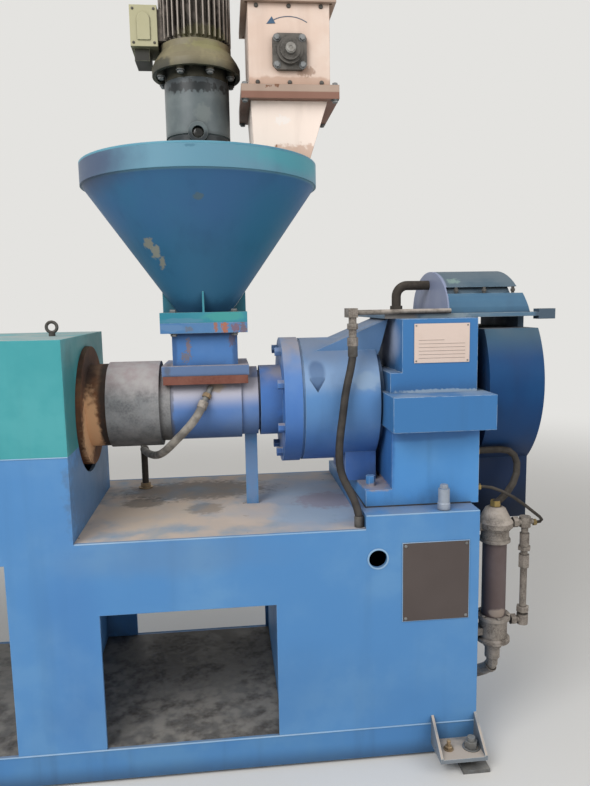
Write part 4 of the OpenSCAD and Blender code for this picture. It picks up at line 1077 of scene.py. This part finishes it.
# Agitator drive: sight glass, flange nuts, junction box cover
driveTrim = {
    "sight": (2, -106, 1939),
    "glass": [(17.5, -6), (17.5, -1.5), (14.5, 0)],
    "nuts": 8,
    "nutCircle": 114,
    "nutSeat": 2117,
    "nutHead": 10,
    "boxCentre": (-150.5, 2255.5),
    "boxFace": -60,
    "screwReach": (31, 48),
    "screwHead": 4,
    "coverHalf": 19.22,
    "coverFoot": -40.8,
    "archFoot": 16.8,
    "archRise": 21.7,
    "coverDepth": 4,
}


def ringOf(count, radius):
    # Places round a circle, half a step on from the x axis.
    angles = [math.tau * (i + 0.5) / count for i in range(count)]
    return [(radius * math.cos(a), radius * math.sin(a)) for a in angles]


def drivePieces(trim):
    glass = bmesh.new()
    turned(glass, trim["glass"], trim["sight"], (0, -1, 0), 36)
    finishPiece("sightGlass", glass, "sightGlass")
    places = [((x, y, trim["nutSeat"]), (0, 0, -1)) for x, y in ringOf(trim["nuts"], trim["nutCircle"])]
    fixings("driveNuts", bolt, places, trim["nutHead"])

    x, z = trim["boxCentre"]
    half = trim["coverHalf"]
    angles = [math.pi * k / 10 for k in range(11)]
    outline = [(x - half, z + trim["coverFoot"]), (x + half, z + trim["coverFoot"])]
    spring, rise = z + trim["archFoot"], trim["archRise"]
    outline += [(x + half * math.cos(a), spring + rise * math.sin(a)) for a in angles]
    cover = bmesh.new()
    plateOf(cover, outline, trim["boxFace"], trim["boxFace"] - trim["coverDepth"])
    finishPiece("boxCover", cover, "boxEnamel", bevel=1.2)
    across, up = trim["screwReach"]
    panel = (x - across, x + across, z - up, z + up)
    panelScrews("boxScrews", panel, trim["boxFace"], 0, trim["screwHead"], "darkBolt")


drivePieces(driveTrim)


# Feeder: screws, bearing and flange bolts, and the arrow that shows which way it turns
feederTrim = {
    "axis": (280, 2161),
    "screwFace": 130,
    "screwRows": (2292, 2078),
    "screwColumns": (184, 280, 376),
    "screwHead": 6.5,
    "bearingFace": 144,
    "bearingReach": 38,
    "bearingHead": 8.5,
    "flange": {"centre": (280, 0), "reach": (135, 138), "faces": ((1, 2067), (-1, 2027)), "head": 9},
    "arcRadius": 102,
    "arcAngles": (58, 118),
    "arcSteps": 16,
    "lineRadius": 1.1,
    "lineRise": 0.4,
    "arrowHead": (21, -3, 11),    # point, heel and half width
    "headDepth": (0.2, -1),       # behind and before the face
    "shaftFace": 176,
    "shaftEnd": [(4, 0.3), (11, 0.3), (12.5, 1.6), (5.5, 1.6)],
}


def feederPieces(trim):
    middle, height = trim["axis"]
    places = [((x, side * trim["screwFace"], z), (0, side, 0)) for side in (-1, 1)
              for z in trim["screwRows"] for x in trim["screwColumns"]]
    fixings("feederScrews", screw, places, trim["screwHead"], "darkBolt")
    reach = trim["bearingReach"]
    places = [((x, side * trim["bearingFace"], z), (0, side, 0)) for side in (-1, 1)
              for x in (middle - reach, middle + reach) for z in (height - reach, height + reach)]
    fixings("bearingBolts", bolt, places, trim["bearingHead"])
    flangeBolts("flangeBolts", trim["flange"])
    finishPiece("turnArrow", arrowMesh(trim), "signPaint")

    ends = bmesh.new()
    for side in (-1, 1):
        at = (middle, side * trim["shaftFace"], height)
        turned(ends, trim["shaftEnd"], at, (0, side, 0), hollow=True)
    finishPiece("shaftEnds", ends, "shaftSteel", body="rotor")


def arrowMesh(trim):
    # A bent line on the front face, and a flat head at its left end.
    arrow = bmesh.new()
    front = -trim["screwFace"]
    start, end = trim["arcAngles"]
    steps = trim["arcSteps"]
    angles = [math.radians(start + (end - start) * k / steps) for k in range(steps + 1)]
    centre = Vector(trim["axis"])
    line = [centre + trim["arcRadius"] * Vector((math.cos(a), math.sin(a))) for a in angles]
    tube(arrow, [(x, front - trim["lineRise"], z) for x, z in line], trim["lineRadius"])
    along = Vector((-math.sin(angles[-1]), math.cos(angles[-1])))
    across = Vector((along[1], -along[0]))
    point, heel, half = trim["arrowHead"]
    corners = (along * point, along * heel + across * half, along * heel - across * half)
    back, face = trim["headDepth"]
    plateOf(arrow, [tuple(line[-1] + corner) for corner in corners], front + back, front + face)
    return arrow


feederPieces(feederTrim)


# Cooler: bolts round its heads, and a clip on the lower elbow
coolerTrim = {
    "axis": (906, -230),
    "bolts": 6,
    "circle": 48,
    "seats": ((-1, 706), (1, 409)),
    "head": 6,
    "clip": (19.5, 21.1, -5, 5, (903, -224, 224), (-10, 18, -22), 28),
}


def coolerPieces(trim):
    x, y = trim["axis"]
    places = [((x + across, y + along, z), (0, 0, way))
              for across, along in ringOf(trim["bolts"], trim["circle"]) for way, z in trim["seats"]]
    fixings("coolerBolts", bolt, places, trim["head"], "galvanised", "cooler_fittings", washer=False)
    clip = bmesh.new()
    collar(clip, *trim["clip"])
    finishPiece("elbowClip", clip, "galvanised")


coolerPieces(coolerTrim)
print("trim made")


# Studio
studio = {
    "floor": "#dcdad6",
    "backdrop": "#e4e3e0",
    "floorSize": 40,
    "fadeFrom": 3.2,         # metres out, where the floor starts to fade into the backdrop
    "fadeTo": 7.5,
    "worldStrength": 0.5,
    "lampSize": 3.0,
    "keyLight": (170, (-1.8, -3.2, 4.2), (0.5, 0, 1.0)),    # power, place and target
    "fillLight": (45, (3.8, -2.4, 3.0), (0.8, 0, 1.0)),
}


def stageFloor(settings):
    half = settings["floorSize"] / 2
    mesh = bpy.data.meshes.new("studioFloor")
    corners = [(-half, -half, 0), (half, -half, 0), (half, half, 0), (-half, half, 0)]
    mesh.from_pydata(corners, [], [(0, 1, 2, 3)])
    tree = startMaterial("studioFloor")
    where = addNode(tree, "TexCoord", out="Object")
    away = addNode(tree, "VectorMath", {0: where}, "Value", operation="LENGTH")
    fade = addNode(tree, "MapRange", limits(away, settings["fadeFrom"], settings["fadeTo"]), **smooth)
    near = addNode(tree, "BsdfPrincipled", {"Base Color": settings["floor"], "Roughness": 0.8})
    far = addNode(tree, "Emission", {"Color": settings["backdrop"], "Strength": 1})
    seen = addNode(tree, "LightPath", out="Is Camera Ray")
    mixed = addNode(tree, "MixShader", {0: product(tree, fade, seen), 1: near, 2: far})
    addNode(tree, "OutputMaterial", {"Surface": mixed})
    mesh.materials.append(finishes["studioFloor"])
    newObject("studioFloor", mesh)


def lightArea(name, settings):
    power, at, target = settings[name]
    data = bpy.data.lights.new(name, "AREA")
    data.energy = power
    data.size = settings["lampSize"]
    lamp = newObject(name, data)
    lamp.location = at
    lamp.rotation_euler = (Vector(target) - Vector(at)).to_track_quat("-Z", "Y").to_euler()


def lightWorld(settings):
    world = bpy.data.worlds.new("studioWorld")
    bpy.context.scene.world = world
    world.use_nodes = True
    tree = world.node_tree
    tree.nodes.clear()
    direct = 0.0
    for ray in ("Is Camera Ray", "Is Glossy Ray", "Is Transmission Ray"):
        path = addNode(tree, "LightPath", out=ray)
        direct = addNode(tree, "Math", {0: direct, 1: path}, operation="MAXIMUM", use_clamp=True)
    soft = addNode(tree, "Background", {"Color": "#ffffff", "Strength": settings["worldStrength"]})
    shown = addNode(tree, "Background", {"Color": settings["backdrop"], "Strength": 1})
    either = addNode(tree, "MixShader", {0: direct, 1: soft, 2: shown})
    addNode(tree, "OutputWorld", {"Surface": either})


stageFloor(studio)
lightWorld(studio)
lightArea("keyLight", studio)
lightArea("fillLight", studio)
bpy.context.scene.view_settings.view_transform = "Standard"
print("studio ready")
